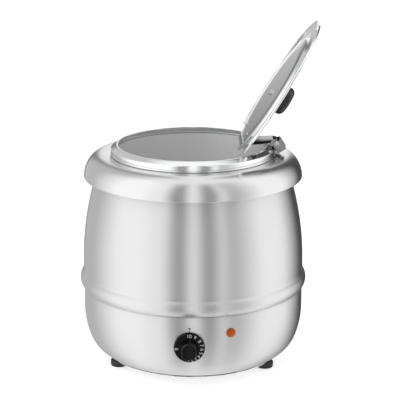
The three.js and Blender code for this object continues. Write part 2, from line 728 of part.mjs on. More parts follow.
// Sensor bulb against the tank's side, with its capillary down to the thermostat.
function sensor(kettle, outlet) {
  const axisR = tankOuterR + GAP + BULB_R;
  const at = (r, angle, z) => new THREE.Vector3(r * Math.cos(angle), r * Math.sin(angle), z);
  const low = tankZ + CORNER + 8;
  const foot = at(axisR, BULB_ANGLE, low);
  const high = low + BULB_L;
  const foreEnd = [[0, low], [BULB_R / 2, low], [BULB_R, low + 2]];
  const backEnd = [[BULB_R, high - 2], [BULB_R / 2, high], [0, high]];
  const bulb = turned([...foreEnd, ...backEnd], SMALL).translate(foot.x, foot.y, 0);
  piece(kettle, "sensor_bulb", bulb, copper);
  const middle = at(axisR + 11, BULB_ANGLE + 0.2, low - 12);
  const route = [
    new THREE.Vector3(outlet.sideX - GAP, outlet.y, outlet.z),
    new THREE.Vector3(outlet.sideX - 12, outlet.y - 1, outlet.z),
    middle,
    at(axisR, BULB_ANGLE, low - 7),
    at(axisR, BULB_ANGLE, low - GAP),
  ];
  piece(kettle, "capillary_tube", tubeAlong(route, 1, 24, 6), copper);
  const clipZ = low + BULB_L / 2;
  const seatR = BULB_R + GAP;
  const bridge = cut(
    join(
      disc(seatR + 1, clipZ - 5, clipZ + 5),
      box(-seatR, -seatR + CLIP_SHEET, -13, 13, clipZ - 5, clipZ + 5),
    ),
    disc(seatR, clipZ - 6, clipZ + 6),
    box(-20, -seatR, -30, 30, clipZ - 6, clipZ + 6),
    box(-20, 0, 0.4 - seatR, seatR - 0.4, clipZ - 6, clipZ + 6),
  );
  const clip = cut(
    bridge.translate(axisR, 0, 0),
    disc(tankOuterR + GAP, clipZ - 7, clipZ + 7, ROUND * 2),
  );
  piece(kettle, "bulb_clip", clip.rotateZ(BULB_ANGLE), plated);
}

function pilotLamp(kettle) {
  const place = (geometry) =>
    geometry.rotateY(Math.PI / 2).translate(wallR, 0, LAMP_Z).rotateZ(LAMP_ANGLE);
  const lens = turned(
    [[0, GAP], [LAMP_R, GAP], [LAMP_R, 1.6], [LAMP_R - 1, 2.6], [LAMP_R - 3.4, 4], [0, 4.6]],
    24,
  );
  const nutIn = -SHEET - 1.2;
  const tailR = LAMP_BODY_R - 0.8;
  const tail = [[0, -24], [tailR, -24], [tailR, -16]];
  const body = turned([...tail, [LAMP_BODY_R, -16], [LAMP_BODY_R, 0], [0, 0]]);
  const nut = hexNut(15, LAMP_BODY_R + GAP, nutIn - 4, nutIn);
  piece(kettle, "pilot_lens", place(lens), amber);
  piece(kettle, "pilot_lamp_body", place(body), ceramic);
  piece(kettle, "pilot_lamp_nut", place(nut), blackPlastic);
}

// Screwed cable gland in the rear wall; its bore is the cord's way in.
function cableGland(kettle) {
  const face = bowlAt(GLAND_Z + 12) + GAP;
  const gland = shell(
    [
      [4.2, -18],
      [GLAND_R, -18],
      [GLAND_R, 0],
      [12, 0],
      [12, 7],
      [11, 8],
      [11, GLAND_OUT - 7],
      [7.5, GLAND_OUT],
      [4.2, GLAND_OUT],
    ],
    FINE,
  );
  const place = (geometry) => geometry.rotateX(-Math.PI / 2).translate(0, face, GLAND_Z);
  piece(kettle, "cable_gland", place(gland), blackPlastic);
  const nutIn = bowlAt(GLAND_Z - 14) - face - SHEET - 1.5;
  const nut = hexNut(25, GLAND_R + 3 * GAP, nutIn - 4, nutIn);
  piece(kettle, "gland_locknut", place(nut), blackPlastic);
}

// ---- Heater and the stack under the tank ----

function heater(kettle) {
  const at = (r, degrees, z) => {
    const angle = THREE.MathUtils.degToRad(degrees);
    return new THREE.Vector3(r * Math.cos(angle), r * Math.sin(angle), z);
  };
  const loop = Array.from({ length: 17 }, (_, i) => at(HEATER_R, 112 + (316 * i) / 16, heaterZ));
  const route = [
    at(HEATER_R + 17, 97, heaterZ - 12),
    at(HEATER_R + 13, 98, heaterZ - 2),
    ...loop,
    at(HEATER_R + 13, 82, heaterZ - 2),
    at(HEATER_R + 17, 83, heaterZ - 12),
  ];
  piece(kettle, "heating_element", tubeAlong(route, HEATER_TUBE_R, 48, 6), satin);
  const clampR = HEATER_R + HEATER_TUBE_R + 3;
  const clamp = washer(STUD_R + GAP, clampR, clampZ - CLAMP_SHEET, clampZ, ROUND);
  const nut = hexNut(STUD_NUT_AF, STUD_R + GAP, clampNutZ - STUD_NUT_H, clampNutZ);
  piece(kettle, "heater_clamp_plate", clamp, plated);
  piece(kettle, "heater_clamp_nut", nut, plated);
  const blade = box(-4, 4, -2, 2, clampNutZ - 12, clampNutZ - 6);
  const cutout = join(disc(9, clampNutZ - 7, clampNutZ), blade);
  piece(kettle, "thermal_cutout", cutout.translate(0, HEATER_R - 34, 0), blackPlastic);
}

// Shouldered rods carry the heat shield and tie the base plate to the tank.
function tieRods(kettle) {
  const foot = plateZ - 5.5;
  const rod = () =>
    turned(
      [
        [0, foot],
        [STUD_R, foot],
        [STUD_R, plateZ + SHEET + GAP],
        [TIE_R, plateZ + SHEET + GAP],
        [TIE_R, SHIELD_Z],
        [STUD_R, SHIELD_Z],
        [STUD_R, tankZ - GAP],
        [0, tankZ - GAP],
      ],
      SMALL,
    );
  TIE_ANGLES.forEach((degrees, i) => {
    const nut = hexNut(STUD_NUT_AF, STUD_R + GAP, foot + 0.8, plateZ - GAP);
    piece(kettle, `tie_rod_${i + 1}`, turnedTo(rod(), degrees, TIE_CIRCLE_R), plated);
    piece(kettle, `tie_nut_${i + 1}`, turnedTo(nut, degrees, TIE_CIRCLE_R), plated);
  });
  const shield = cut(
    disc(TIE_CIRCLE_R + 18, SHIELD_Z + GAP, SHIELD_Z + GAP + SHEET, ROUND),
    ...TIE_ANGLES.map((degrees) =>
      turnedTo(disc(STUD_R + GAP, SHIELD_Z - 5, SHIELD_Z + 5, SMALL), degrees, TIE_CIRCLE_R),
    ),
  );
  piece(kettle, "heat_shield", shield, satin);
}

function terminalBlock(kettle) {
  const low = plateZ + SHEET + GAP;
  const high = low + TERMINAL_H;
  const half = TERMINAL_W / 2;
  const rear = Math.sqrt(flangeInR ** 2 - half ** 2) - GAP;
  const front = rear - TERMINAL_D;
  const slot = (x) =>
    box(x - TERMINAL_SLOT / 2, x + TERMINAL_SLOT / 2, front - 1, rear + 1, high - 6, high + 1);
  const slots = [-TERMINAL_PITCH, 0, TERMINAL_PITCH].map(slot);
  piece(kettle, "terminal_block", cut(box(-half, half, front, rear, low, high), ...slots), ceramic);
}

// ---- Feet ----

function feet(kettle) {
  const footTop = plateZ - GAP;
  const screwHole = FOOT_SCREW_R + GAP;
  const names = ["rear", "front_left", "front_right"];
  const nutLow = flangeZ + SHEET + GAP;
  FOOT_ANGLES.forEach((degrees, i) => {
    const foot = shell(
      [
        [FOOT_RECESS_R, 0],
        [FOOT_R - 1.2, 0],
        [FOOT_R, 1.2],
        [FOOT_R, footTop],
        [screwHole, footTop],
        [screwHole, FOOT_SEAT],
        [FOOT_RECESS_R, FOOT_SEAT],
      ],
      FINE,
    );
    const top = nutLow + 6;
    const under = FOOT_SEAT - GAP;
    const head = [[0, 1.5], [3.4, 1.5], [4, 2.1], [4, under]];
    const screw = turned([...head, [FOOT_SCREW_R, under], [FOOT_SCREW_R, top], [0, top]], SMALL);
    const nut = hexNut(8, FOOT_SCREW_R + GAP, nutLow, nutLow + 4);
    piece(kettle, `foot_${names[i]}`, turnedTo(foot, degrees, footCircleR), rubber);
    piece(kettle, `foot_screw_${names[i]}`, turnedTo(screw, degrees, footCircleR), plated);
    piece(kettle, `foot_nut_${names[i]}`, turnedTo(nut, degrees, footCircleR), plated);
  });
}

// ---- Assembly ----

function build() {
  const kettle = new THREE.Group();
  piece(kettle, "upper_casing", upperCasing(), brushed);
  piece(kettle, "lower_casing", lowerCasing(), brushed);
  piece(kettle, "top_collar", topCollar(), brushed);
  piece(kettle, "base_plate", basePlate(), plated);
  piece(kettle, "water_tank", waterTank(), satin);
  feet(kettle);
  tieRods(kettle);
  heater(kettle);
  terminalBlock(kettle);
  pilotLamp(kettle);
  cableGland(kettle);

  const knobBody = new THREE.Group();
  const wallFace = bowlAt(KNOB_Z);
  piece(knobBody, "control_knob", controlKnob(wallFace + KNOB_GAP), blackPlastic);
  sensor(kettle, thermostat(kettle, knobBody, wallFace));

  const pot = new THREE.Group();
  piece(pot, "insert_pot", insertPot(), satin);
  const ring = new THREE.Group();
  piece(ring, "lid_ring", lidRing(), polished);
  piece(ring, "hinge_bracket", hingeBracket(), plated);
  piece(ring, "bracket_rivet_front", bracketRivet(-1), plated);
  piece(ring, "bracket_rivet_rear", bracketRivet(1), plated);
  piece(ring, "hinge_pin", hingePin(), plated);
  const strap = new THREE.Group();
  piece(strap, "lid_strap", lidStrap(), polished);
  piece(strap, "hinge_rod", hingeRod(), plated);

  const lid = new THREE.Group();
  lid.position.set(-hingeX, 0, -hingeZ);
  piece(lid, "lid", lidSheet(), polished);
  piece(lid, "hinge_clip_front", hingeClip(-CLIP_Y), plated);
  piece(lid, "hinge_clip_rear", hingeClip(CLIP_Y), plated);
  piece(lid, "clip_rivet_front", clipRivet(-CLIP_Y), plated);
  piece(lid, "clip_rivet_rear", clipRivet(CLIP_Y), plated);
  piece(lid, "lid_knob", lidKnob(), blackPlastic);
  piece(lid, "lid_knob_screw", lidKnobScrew(), plated);
  const swing = new THREE.Group();
  swing.position.set(hingeX, 0, hingeZ);
  swing.rotation.y = LID_OPEN;
  swing.add(lid);

  strap.add(swing);
  ring.add(strap);
  pot.add(ring);
  kettle.add(knobBody, pot);

  const space = new THREE.Box3().setFromObject(kettle);
  kettle.position.x = -(space.min.x + space.max.x) / 2;
  return new THREE.Group().add(kettle);
}

export default build();
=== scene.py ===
"""Soup kettle: the fine surface model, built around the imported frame."""

import json
import logging
import math
from collections.abc import Sequence
from dataclasses import dataclass, field
from enum import Enum

import bmesh
import bpy
from mathutils import Matrix, Vector


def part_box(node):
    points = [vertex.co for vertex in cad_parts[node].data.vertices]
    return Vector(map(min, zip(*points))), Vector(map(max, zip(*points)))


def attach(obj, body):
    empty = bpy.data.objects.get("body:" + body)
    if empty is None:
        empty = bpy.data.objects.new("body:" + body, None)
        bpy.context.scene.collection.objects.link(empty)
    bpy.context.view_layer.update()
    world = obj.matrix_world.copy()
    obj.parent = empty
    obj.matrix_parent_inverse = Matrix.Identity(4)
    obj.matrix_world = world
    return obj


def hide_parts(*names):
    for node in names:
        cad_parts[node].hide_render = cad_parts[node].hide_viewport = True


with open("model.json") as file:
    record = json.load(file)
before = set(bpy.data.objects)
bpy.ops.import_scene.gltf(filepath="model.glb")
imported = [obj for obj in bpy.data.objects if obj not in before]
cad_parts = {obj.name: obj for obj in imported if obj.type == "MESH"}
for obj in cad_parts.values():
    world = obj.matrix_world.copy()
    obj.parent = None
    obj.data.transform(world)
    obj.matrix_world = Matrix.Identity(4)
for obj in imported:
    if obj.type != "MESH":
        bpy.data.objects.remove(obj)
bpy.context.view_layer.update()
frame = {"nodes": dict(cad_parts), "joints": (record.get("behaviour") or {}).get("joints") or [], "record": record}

log = logging.getLogger("soup_kettle")

Point = tuple[float, float]
Colour = tuple[float, float, float]
Value = bpy.types.NodeSocket | float

MM = 0.001
SHEET = 1.0 * MM
CASING_LOW, CASING_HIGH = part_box("upper_casing")
AXIS = Vector(((CASING_LOW.x + CASING_HIGH.x) / 2, 0.0, 0.0))


# ---------------------------------------------------------------- outlines


def arc(centre: Point, radius: float, start: float, end: float, steps: int) -> list[Point]:
    """Points of an arc in the radius-height plane.

    Args:
        centre: Centre as (radius, height).
        radius: Radius of the arc.
        start: First angle in degrees, from the outward direction.
        end: Last angle in degrees.
        steps: Number of chords.

    Returns:
        The points from start to end.
    """
    turn = [math.radians(start + (end - start) * i / steps) for i in range(steps + 1)]
    return [(centre[0] + radius * math.cos(a), centre[1] + radius * math.sin(a)) for a in turn]


def rounded(corners: Sequence[tuple[float, float, float]], steps: int = 5) -> list[Point]:
    """A closed outline with each corner rounded.

    Args:
        corners: Corners as (radius, height, fillet radius), in order.
        steps: Chords in each fillet.

    Returns:
        The outline's points.
    """
    points: list[Point] = []
    count = len(corners)
    for i, (r, z, fillet) in enumerate(corners):
        here = Vector((r, z))
        before = Vector(corners[i - 1][:2]) - here
        after = Vector(corners[(i + 1) % count][:2]) - here
        if fillet <= 0 or before.length < 1e-9 or after.length < 1e-9:
            points.append((r, z))
            continue
        half = before.angle(after) / 2
        reach = min(fillet / max(math.tan(half), 1e-4), before.length * 0.48, after.length * 0.48)
        first = here + before.normalized() * reach
        last = here + after.normalized() * reach
        for k in range(steps + 1):
            t = k / steps
            spot = first * (1 - t) ** 2 + here * 2 * t * (1 - t) + last * t**2
            points.append((spot.x, spot.y))
    return points


def link(name: str, mesh: bpy.types.Mesh, crease: float = 38.0) -> bpy.types.Object:
    """Adds a mesh to the scene as an object with smooth faces and sharp creases.

    Args:
        name: Name of the new object.
        mesh: Its mesh.
        crease: Angle in degrees over which an edge stays sharp.

    Returns:
        The object.
    """
    mesh.validate()
    mesh.shade_smooth()
    mesh.set_sharp_from_angle(angle=math.radians(crease))
    piece = bpy.data.objects.new(name, mesh)
    bpy.context.scene.collection.objects.link(piece)
    return piece


def from_bmesh(name: str, shape: bmesh.types.BMesh, crease: float = 38.0) -> bpy.types.Object:
    """Turns a bmesh into an object and frees it.

    Args:
        name: Name of the new object.
        shape: The bmesh.
        crease: Angle in degrees over which an edge stays sharp.

    Returns:
        The object.
    """
    bmesh.ops.remove_doubles(shape, verts=shape.verts, dist=1e-7)
    bmesh.ops.recalc_face_normals(shape, faces=shape.faces)
    mesh = bpy.data.meshes.new(name)
    shape.to_mesh(mesh)
    shape.free()
    return link(name, mesh, crease)


def spin(outline: Sequence[Point], steps: int, closed: bool = True) -> bmesh.types.BMesh:
    """Revolves an outline about the Z axis.

    Args:
        outline: Points as (radius, height).
        steps: Number of sides.
        closed: Whether the last point joins the first; if not, both lie on the axis.

    Returns:
        The revolved shape.
    """
    shape = bmesh.new()
    rows = []
    for i in range(steps):
        turn = 2 * math.pi * i / steps
        cos, sin = math.cos(turn), math.sin(turn)
        rows.append([shape.verts.new((r * cos, r * sin, z)) for r, z in outline])
    count = len(outline)
    for i in range(steps):
        here, there = rows[i], rows[(i + 1) % steps]
        for k in range(count if closed else count - 1):
            n = (k + 1) % count
            shape.faces.new((here[k], there[k], there[n], here[n]))
    bmesh.ops.remove_doubles(shape, verts=shape.verts, dist=1e-7)
    bmesh.ops.dissolve_degenerate(shape, edges=shape.edges, dist=1e-8)
    return shape


def revolve(
    name: str,
    outline: Sequence[Point],
    steps: int = 144,
    closed: bool = True,
    place: Matrix | None = None,
    crease: float = 38.0,
) -> bpy.types.Object:
    """A round piece about the kettle's axis, or about another axis.

    Args:
        name: Name of the piece.
        outline: Points as (radius, height).
        steps: Number of sides.
        closed: Whether the outline is a closed loop.
        place: Where the outline's own axis goes; the kettle's axis if left out.
        crease: Angle in degrees over which an edge stays sharp.

    Returns:
        The piece.
    """
    shape = spin(outline, steps, closed)
    shape.transform(place or Matrix.Translation(AXIS))
    return from_bmesh(name, shape, crease)


def soften(piece: bpy.types.Object, width: float, segments: int = 2) -> bpy.types.Object:
    """Rounds a piece's sharp edges with a bevel.

    Args:
        piece: The piece.
        width: Width of the bevel in metres.
        segments: Faces across it.

    Returns:
        The same piece.
    """
    bevel = piece.modifiers.new("edge_break", "BEVEL")
    bevel.width = width
    bevel.segments = segments
    bevel.limit_method = "ANGLE"
    bevel.angle_limit = math.radians(34)
    bevel.harden_normals = False
    return piece


# --------------------------------------------------------------- materials


class Slot(Enum):
    """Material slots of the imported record."""

    CASING = "brushed_casing"
    MIRROR = "mirror_steel"
    SATIN = "satin_steel"
    PLATED = "plated_hardware"
    BLACK = "black_plastic"
    RUBBER = "rubber"
    LENS = "amber_lens"
    COPPER = "copper"
    CERAMIC = "ceramic"


def new_group(name: str, inputs: dict[str, float], outputs: Sequence[str]) -> bpy.types.NodeTree:
    """An empty shader node group with value sockets.

    Args:
        name: Name of the group.
        inputs: Input names with their defaults.
        outputs: Output names.

    Returns:
        The group, holding its input and output nodes.
    """
    group = bpy.data.node_groups.new(name, "ShaderNodeTree")
    for label, value in inputs.items():
        socket = group.interface.new_socket(label, in_out="INPUT", socket_type="NodeSocketFloat")
        socket.default_value = value
    for label in outputs:
        group.interface.new_socket(label, in_out="OUTPUT", socket_type="NodeSocketFloat")
    group.nodes.new("NodeGroupInput")
    group.nodes.new("NodeGroupOutput")
    return group


@dataclass
class Wiring:
    """Short-hand for adding and joining nodes in one node tree."""

    tree: bpy.types.NodeTree

    def node(self, kind: str, **settings: object) -> bpy.types.Node:
        """Adds a node and sets its properties.

        Args:
            kind: The node's type name.
            **settings: Property names with their values.

        Returns:
            The node.
        """
        made = self.tree.nodes.new(kind)
        for key, value in settings.items():
            setattr(made, key, value)
        return made

    def join(self, start: bpy.types.NodeSocket, end: bpy.types.NodeSocket) -> None:
        """Links an output socket to an input socket."""
        self.tree.links.new(start, end)

    def math(self, kind: str, first: Value, second: Value = 0.0) -> bpy.types.NodeSocket:
        """Adds a Math node.

        Args:
            kind: Its operation.
            first: A socket or a number.
            second: A socket or a number.

        Returns:
            Its output socket.
        """
        made = self.node("ShaderNodeMath", operation=kind)
        for slot, value in zip(made.inputs, (first, second), strict=False):
            if isinstance(value, bpy.types.NodeSocket):
                self.join(value, slot)
            else:
                slot.default_value = value
        return made.outputs[0]

    def use(self, group: bpy.types.NodeTree, **levels: float) -> bpy.types.Node:
        """Adds a shared effect with its own levels.

        Args:
            group: The effect's node group.
            **levels: Input names, with a small first letter, and their values.

        Returns:
            The group node.
        """
        made = self.node("ShaderNodeGroup", node_tree=group)
        for key, value in levels.items():
            made.inputs[key.capitalize()].default_value = value
        return made

    def shade(self, share: bpy.types.NodeSocket, first: Colour, second: Colour) -> bpy.types.NodeSocket:
        """Mixes two colours.

        Args:
            share: Socket that gives the second colour's share.
            first: Colour where the share is zero.
            second: Colour where it is one.

        Returns:
            The mixed colour's socket.
        """
        made = self.node("ShaderNodeMix", data_type="RGBA")
        colours = [slot for slot in made.inputs if slot.type == "RGBA"]
        for slot, colour in zip(colours, (first, second), strict=True):
            slot.default_value = (*colour, 1.0)
        self.join(share, made.inputs["Factor"])
        return next(slot for slot in made.outputs if slot.type == "RGBA")

    def bump(self, height: bpy.types.NodeSocket, distance: float) -> bpy.types.NodeSocket:
        """Adds a Bump node.

        Args:
            height: Socket of the relief's height.
            distance: Depth of the relief in metres.

        Returns:
            Its normal socket.
        """
        made = self.node("ShaderNodeBump")
        made.inputs["Strength"].default_value = 1.0
        made.inputs["Distance"].default_value = distance
        self.join(height, made.inputs["Height"])
        return made.outputs["Normal"]

    def find(self, kind: str) -> bpy.types.Node:
        """The first node of a kind in the tree."""
        return next(n for n in self.tree.nodes if n.bl_idname == kind)


def spun_grain() -> bpy.types.NodeTree:
    """Fine lines that run round the kettle, as left by spinning and brushing.

    Returns:
        The node group.
    """
    group = new_group(
        "spun_grain",
        {"Centre X": AXIS.x, "Lines": 900.0, "Drift": 5.0, "Contrast": 1.0},
        ["Height", "Tone"],
    )
    w = Wiring(group)
    given = w.find("NodeGroupInput").outputs
    out = w.find("NodeGroupOutput").inputs
    spot = w.node("ShaderNodeTexCoord")
    split = w.node("ShaderNodeSeparateXYZ")
    w.join(spot.outputs["Object"], split.inputs[0])
    x = w.math("SUBTRACT", split.outputs["X"], given["Centre X"])
    angle = w.math("ARCTAN2", split.outputs["Y"], x)
    radius = w.math(
        "SQRT", w.math("ADD", w.math("POWER", x, 2.0), w.math("POWER", split.outputs["Y"], 2.0))
    )
    along = w.node("ShaderNodeCombineXYZ")
    w.join(w.math("MULTIPLY", angle, given["Drift"]), along.inputs[0])
    w.join(w.math("MULTIPLY", split.outputs["Z"], given["Lines"]), along.inputs[1])
    w.join(w.math("MULTIPLY", radius, given["Lines"]), along.inputs[2])
    noise = w.node("ShaderNodeTexNoise")
    noise.inputs["Scale"].default_value = 1.0
    noise.inputs["Detail"].default_value = 3.0
    w.join(along.outputs[0], noise.inputs["Vector"])
    centred = w.math("SUBTRACT", noise.outputs["Fac"], 0.5)
    w.join(w.math("MULTIPLY", centred, given["Contrast"]), out["Height"])
    w.join(noise.outputs["Fac"], out["Tone"])
    return group


def handling_haze() -> bpy.types.NodeTree:
    """Soft uneven patches, as wiping and handling leave on a surface.

    Returns:
        The node group.
    """
    group = new_group("handling_haze", {"Scale": 14.0, "Low": 0.3, "High": 0.36}, ["Roughness", "Mask"])
    w = Wiring(group)
    given = w.find("NodeGroupInput").outputs
    out = w.find("NodeGroupOutput").inputs
    spot = w.node("ShaderNodeTexCoord")
    noise = w.node("ShaderNodeTexNoise")
    noise.inputs["Detail"].default_value = 4.0
    noise.inputs["Roughness"].default_value = 0.62
    w.join(spot.outputs["Object"], noise.inputs["Vector"])
    w.join(given["Scale"], noise.inputs["Scale"])
    spread = w.math("SUBTRACT", given["High"], given["Low"])
    mixed = w.math("ADD", w.math("MULTIPLY", noise.outputs["Fac"], spread), given["Low"])
    w.join(mixed, out["Roughness"])
    w.join(noise.outputs["Fac"], out["Mask"])
    return group


def edge_rub() -> bpy.types.NodeTree:
    """A mask that is high on outward edges, where use rubs a moulding.

    Returns:
        The node group.
    """
    group = new_group("edge_rub", {"Start": 0.52, "End": 0.62}, ["Mask"])
    w = Wiring(group)
    given = w.find("NodeGroupInput").outputs
    out = w.find("NodeGroupOutput").inputs
    shape = w.node("ShaderNodeNewGeometry")
    ramp = w.node("ShaderNodeMapRange")
    w.join(shape.outputs["Pointiness"], ramp.inputs["Value"])
    w.join(given["Start"], ramp.inputs["From Min"])
    w.join(given["End"], ramp.inputs["From Max"])
    w.join(ramp.outputs["Result"], out["Mask"])
    return group


@dataclass
class Effects:
    """The shared node groups, each built once."""

    grain: bpy.types.NodeTree = field(default_factory=spun_grain)
    haze: bpy.types.NodeTree = field(default_factory=handling_haze)
    rub: bpy.types.NodeTree = field(default_factory=edge_rub)


def new_material(name: str) -> tuple[bpy.types.Material, Wiring, bpy.types.Node]:
    """Starts a node material.

    Args:
        name: Name of the material.

    Returns:
        The material, its wiring and its Principled shader.
    """
    material = bpy.data.materials.new(name)
    material.use_nodes = True
    w = Wiring(material.node_tree)
    return material, w, w.find("ShaderNodeBsdfPrincipled")


@dataclass(frozen=True)
class SteelFinish:
    """A stainless or plated steel surface."""

    name: str
    tint: Colour
    low: float
    high: float
    grain_height: float = 0.0
    lines: float = 900.0
    spin_blur: float = 0.0
    haze_scale: float = 60.0
    dulling: float = 0.965

    def make(self, effects: Effects) -> bpy.types.Material:
        """Builds the material.

        Args:
            effects: The shared node groups.

        Returns:
            The material.
        """
        material, w, steel = new_material(self.name)
        steel.inputs["Metallic"].default_value = 1.0
        steel.inputs["Anisotropic"].default_value = self.spin_blur
        steel.inputs["Anisotropic Rotation"].default_value = 0.25
        haze = w.use(effects.haze, scale=self.haze_scale, low=self.low, high=self.high)
        w.join(haze.outputs["Roughness"], steel.inputs["Roughness"])
        grain = w.use(effects.grain, lines=self.lines)
        dull = tuple(c * self.dulling for c in self.tint)
        w.join(w.shade(grain.outputs["Tone"], dull, self.tint), steel.inputs["Base Color"])
        w.join(w.bump(grain.outputs["Height"], self.grain_height), steel.inputs["Normal"])
        if self.spin_blur:
            tangent = w.node("ShaderNodeTangent", direction_type="RADIAL", axis="Z")
            w.join(tangent.outputs[0], steel.inputs["Tangent"])
        return material


@dataclass(frozen=True)
class MouldedFinish:
    """A moulded plastic, rubber or ceramic surface."""

    name: str
    tint: Colour
    low: float
    high: float
    pebble: float
    pebble_scale: float = 2600.0
    rubbed: float = 0.0
    specular: float = 0.3
    haze_scale: float = 60.0

    def make(self, effects: Effects) -> bpy.types.Material:
        """Builds the material.

        Args:
            effects: The shared node groups.

        Returns:
            The material.
        """
        material, w, skin = new_material(self.name)
        skin.inputs["Specular IOR Level"].default_value = self.specular
        haze = w.use(effects.haze, scale=self.haze_scale, low=self.low, high=self.high)
        w.join(haze.outputs["Roughness"], skin.inputs["Roughness"])
        rub = w.use(effects.rub)
        lighter = tuple(c + (1 - c) * self.rubbed for c in self.tint)
        w.join(w.shade(rub.outputs["Mask"], self.tint, lighter), skin.inputs["Base Color"])
        spot = w.node("ShaderNodeTexCoord")
        pebble = w.node("ShaderNodeTexNoise")
        pebble.inputs["Scale"].default_value = self.pebble_scale
        w.join(spot.outputs["Object"], pebble.inputs["Vector"])
        w.join(w.bump(pebble.outputs["Fac"], self.pebble), skin.inputs["Normal"])
        return material


@dataclass(frozen=True)
class LensFinish:
    """Clear coloured plastic lit from behind by a small neon lamp."""

    name: str
    tint: Colour
    glow: float
    low: float = 0.12
    high: float = 0.24
    haze_scale: float = 220.0
    deepening: float = 0.8

    def make(self, effects: Effects) -> bpy.types.Material:
        """Builds the material.

        Args:
            effects: The shared node groups.

        Returns:
            The material.
        """
        material, w, lens = new_material(self.name)
        lens.inputs["Subsurface Weight"].default_value = 0.25
        lens.inputs["Subsurface Scale"].default_value = 4 * MM
        lens.inputs["Coat Weight"].default_value = 0.08
        lens.inputs["Specular IOR Level"].default_value = 0.2
        lens.inputs["Emission Strength"].default_value = self.glow
        haze = w.use(effects.haze, scale=self.haze_scale, low=self.low, high=self.high)
        w.join(haze.outputs["Roughness"], lens.inputs["Roughness"])
        deeper = tuple(c * self.deepening for c in self.tint)
        tone = w.shade(haze.outputs["Mask"], deeper, self.tint)
        w.join(tone, lens.inputs["Base Color"])
        w.join(tone, lens.inputs["Emission Color"])
        return material


@dataclass
class Finishes:
    """Every finish of the kettle, one material for each record slot and a few more."""

    effects: Effects = field(default_factory=Effects)
    made: dict[str, bpy.types.Material] = field(default_factory=dict)

    def build(self) -> None:
        """Makes all the materials."""
        steels = [
            SteelFinish("brushed_casing", (0.75, 0.75, 0.752), 0.32, 0.38, 2e-6, 1400.0, 0.94, 9.0),
            SteelFinish("spun_collar", (0.76, 0.76, 0.762), 0.22, 0.26, 1e-6, 1400.0, 0.85, 9.0),
            SteelFinish("mirror_steel", (0.9, 0.905, 0.91), 0.035, 0.08, 4e-7, 500.0, 0.0, 20.0),
            SteelFinish("satin_steel", (0.95, 0.95, 0.95), 0.5, 0.58, 3e-6, 1100.0, 0.3, 12.0),
            # Darkened copy of the mirror steel for the hinge bracket and strap: painted shade standing in for
            # their dark reflections.
            SteelFinish("hinge_steel_painted_dark", (0.26, 0.26, 0.265), 0.12, 0.2, 1e-6, 700.0),
            SteelFinish("plated_hardware", (0.7, 0.71, 0.72), 0.14, 0.26, 1e-6, 700.0),
            SteelFinish("copper", (0.72, 0.4, 0.24), 0.25, 0.4, 2e-6, 900.0),
        ]
        jet, piano = (0.003, 0.003, 0.003), (0.004, 0.004, 0.004)
        mouldings = [
            MouldedFinish("black_plastic", jet, 0.12, 0.2, 4e-6, rubbed=0.0072, specular=0.16),
            MouldedFinish("polished_black", piano, 0.1, 0.16, 2e-6, rubbed=0.006, specular=0.6),
            MouldedFinish("rubber", (0.016, 0.016, 0.016), 0.6, 0.8, 4e-5, 1500.0, 0.072),
            MouldedFinish("ceramic", (0.8, 0.77, 0.68), 0.4, 0.6, 3e-5, 1800.0, 0.012),
            MouldedFinish("print_white", (0.82, 0.82, 0.8), 0.45, 0.6, 1e-5, 3000.0),
            MouldedFinish("print_black", (0.01, 0.01, 0.01), 0.35, 0.5, 1e-5, 3000.0),
        ]
        finishes = [*steels, *mouldings, LensFinish("amber_lens", (0.4, 0.07, 0.006), 0.08)]
        for finish in finishes:
            self.made[finish.name] = finish.make(self.effects)

    def dress(self, piece: bpy.types.Object, slot: Slot, finish: str | None = None) -> None:
        """Gives a piece its material.

        Args:
            piece: The piece.
            slot: The record slot it takes its finish from.
            finish: Name of another material, if it isn't the slot's own.
        """
        piece.data.materials.clear()
        piece.data.materials.append(self.made[finish or slot.value])


@dataclass
class Assembly:
    """Base of the sub-assemblies: it knows the finishes and places pieces on bodies."""

    finishes: Finishes

    def fit(
        self,
        piece: bpy.types.Object,
        body: str,
        slot: Slot,
        stands_for: Sequence[str] = (),
        finish: str | None = None,
    ) -> bpy.types.Object:
        """Dresses a piece and hangs it on its body.

        Args:
            piece: The new piece.
            body: Body that it moves with.
            slot: Record slot of its finish.
            stands_for: CAD nodes that it replaces.
            finish: Another material's name.

        Returns:
            The same piece.
        """
        self.finishes.dress(piece, slot, finish)
        if stands_for:
            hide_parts(*stands_for)
        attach(piece, body)
        log.info("%s rides on %s", piece.name, body)
        return piece


# ----------------------------------------------------------------- casing


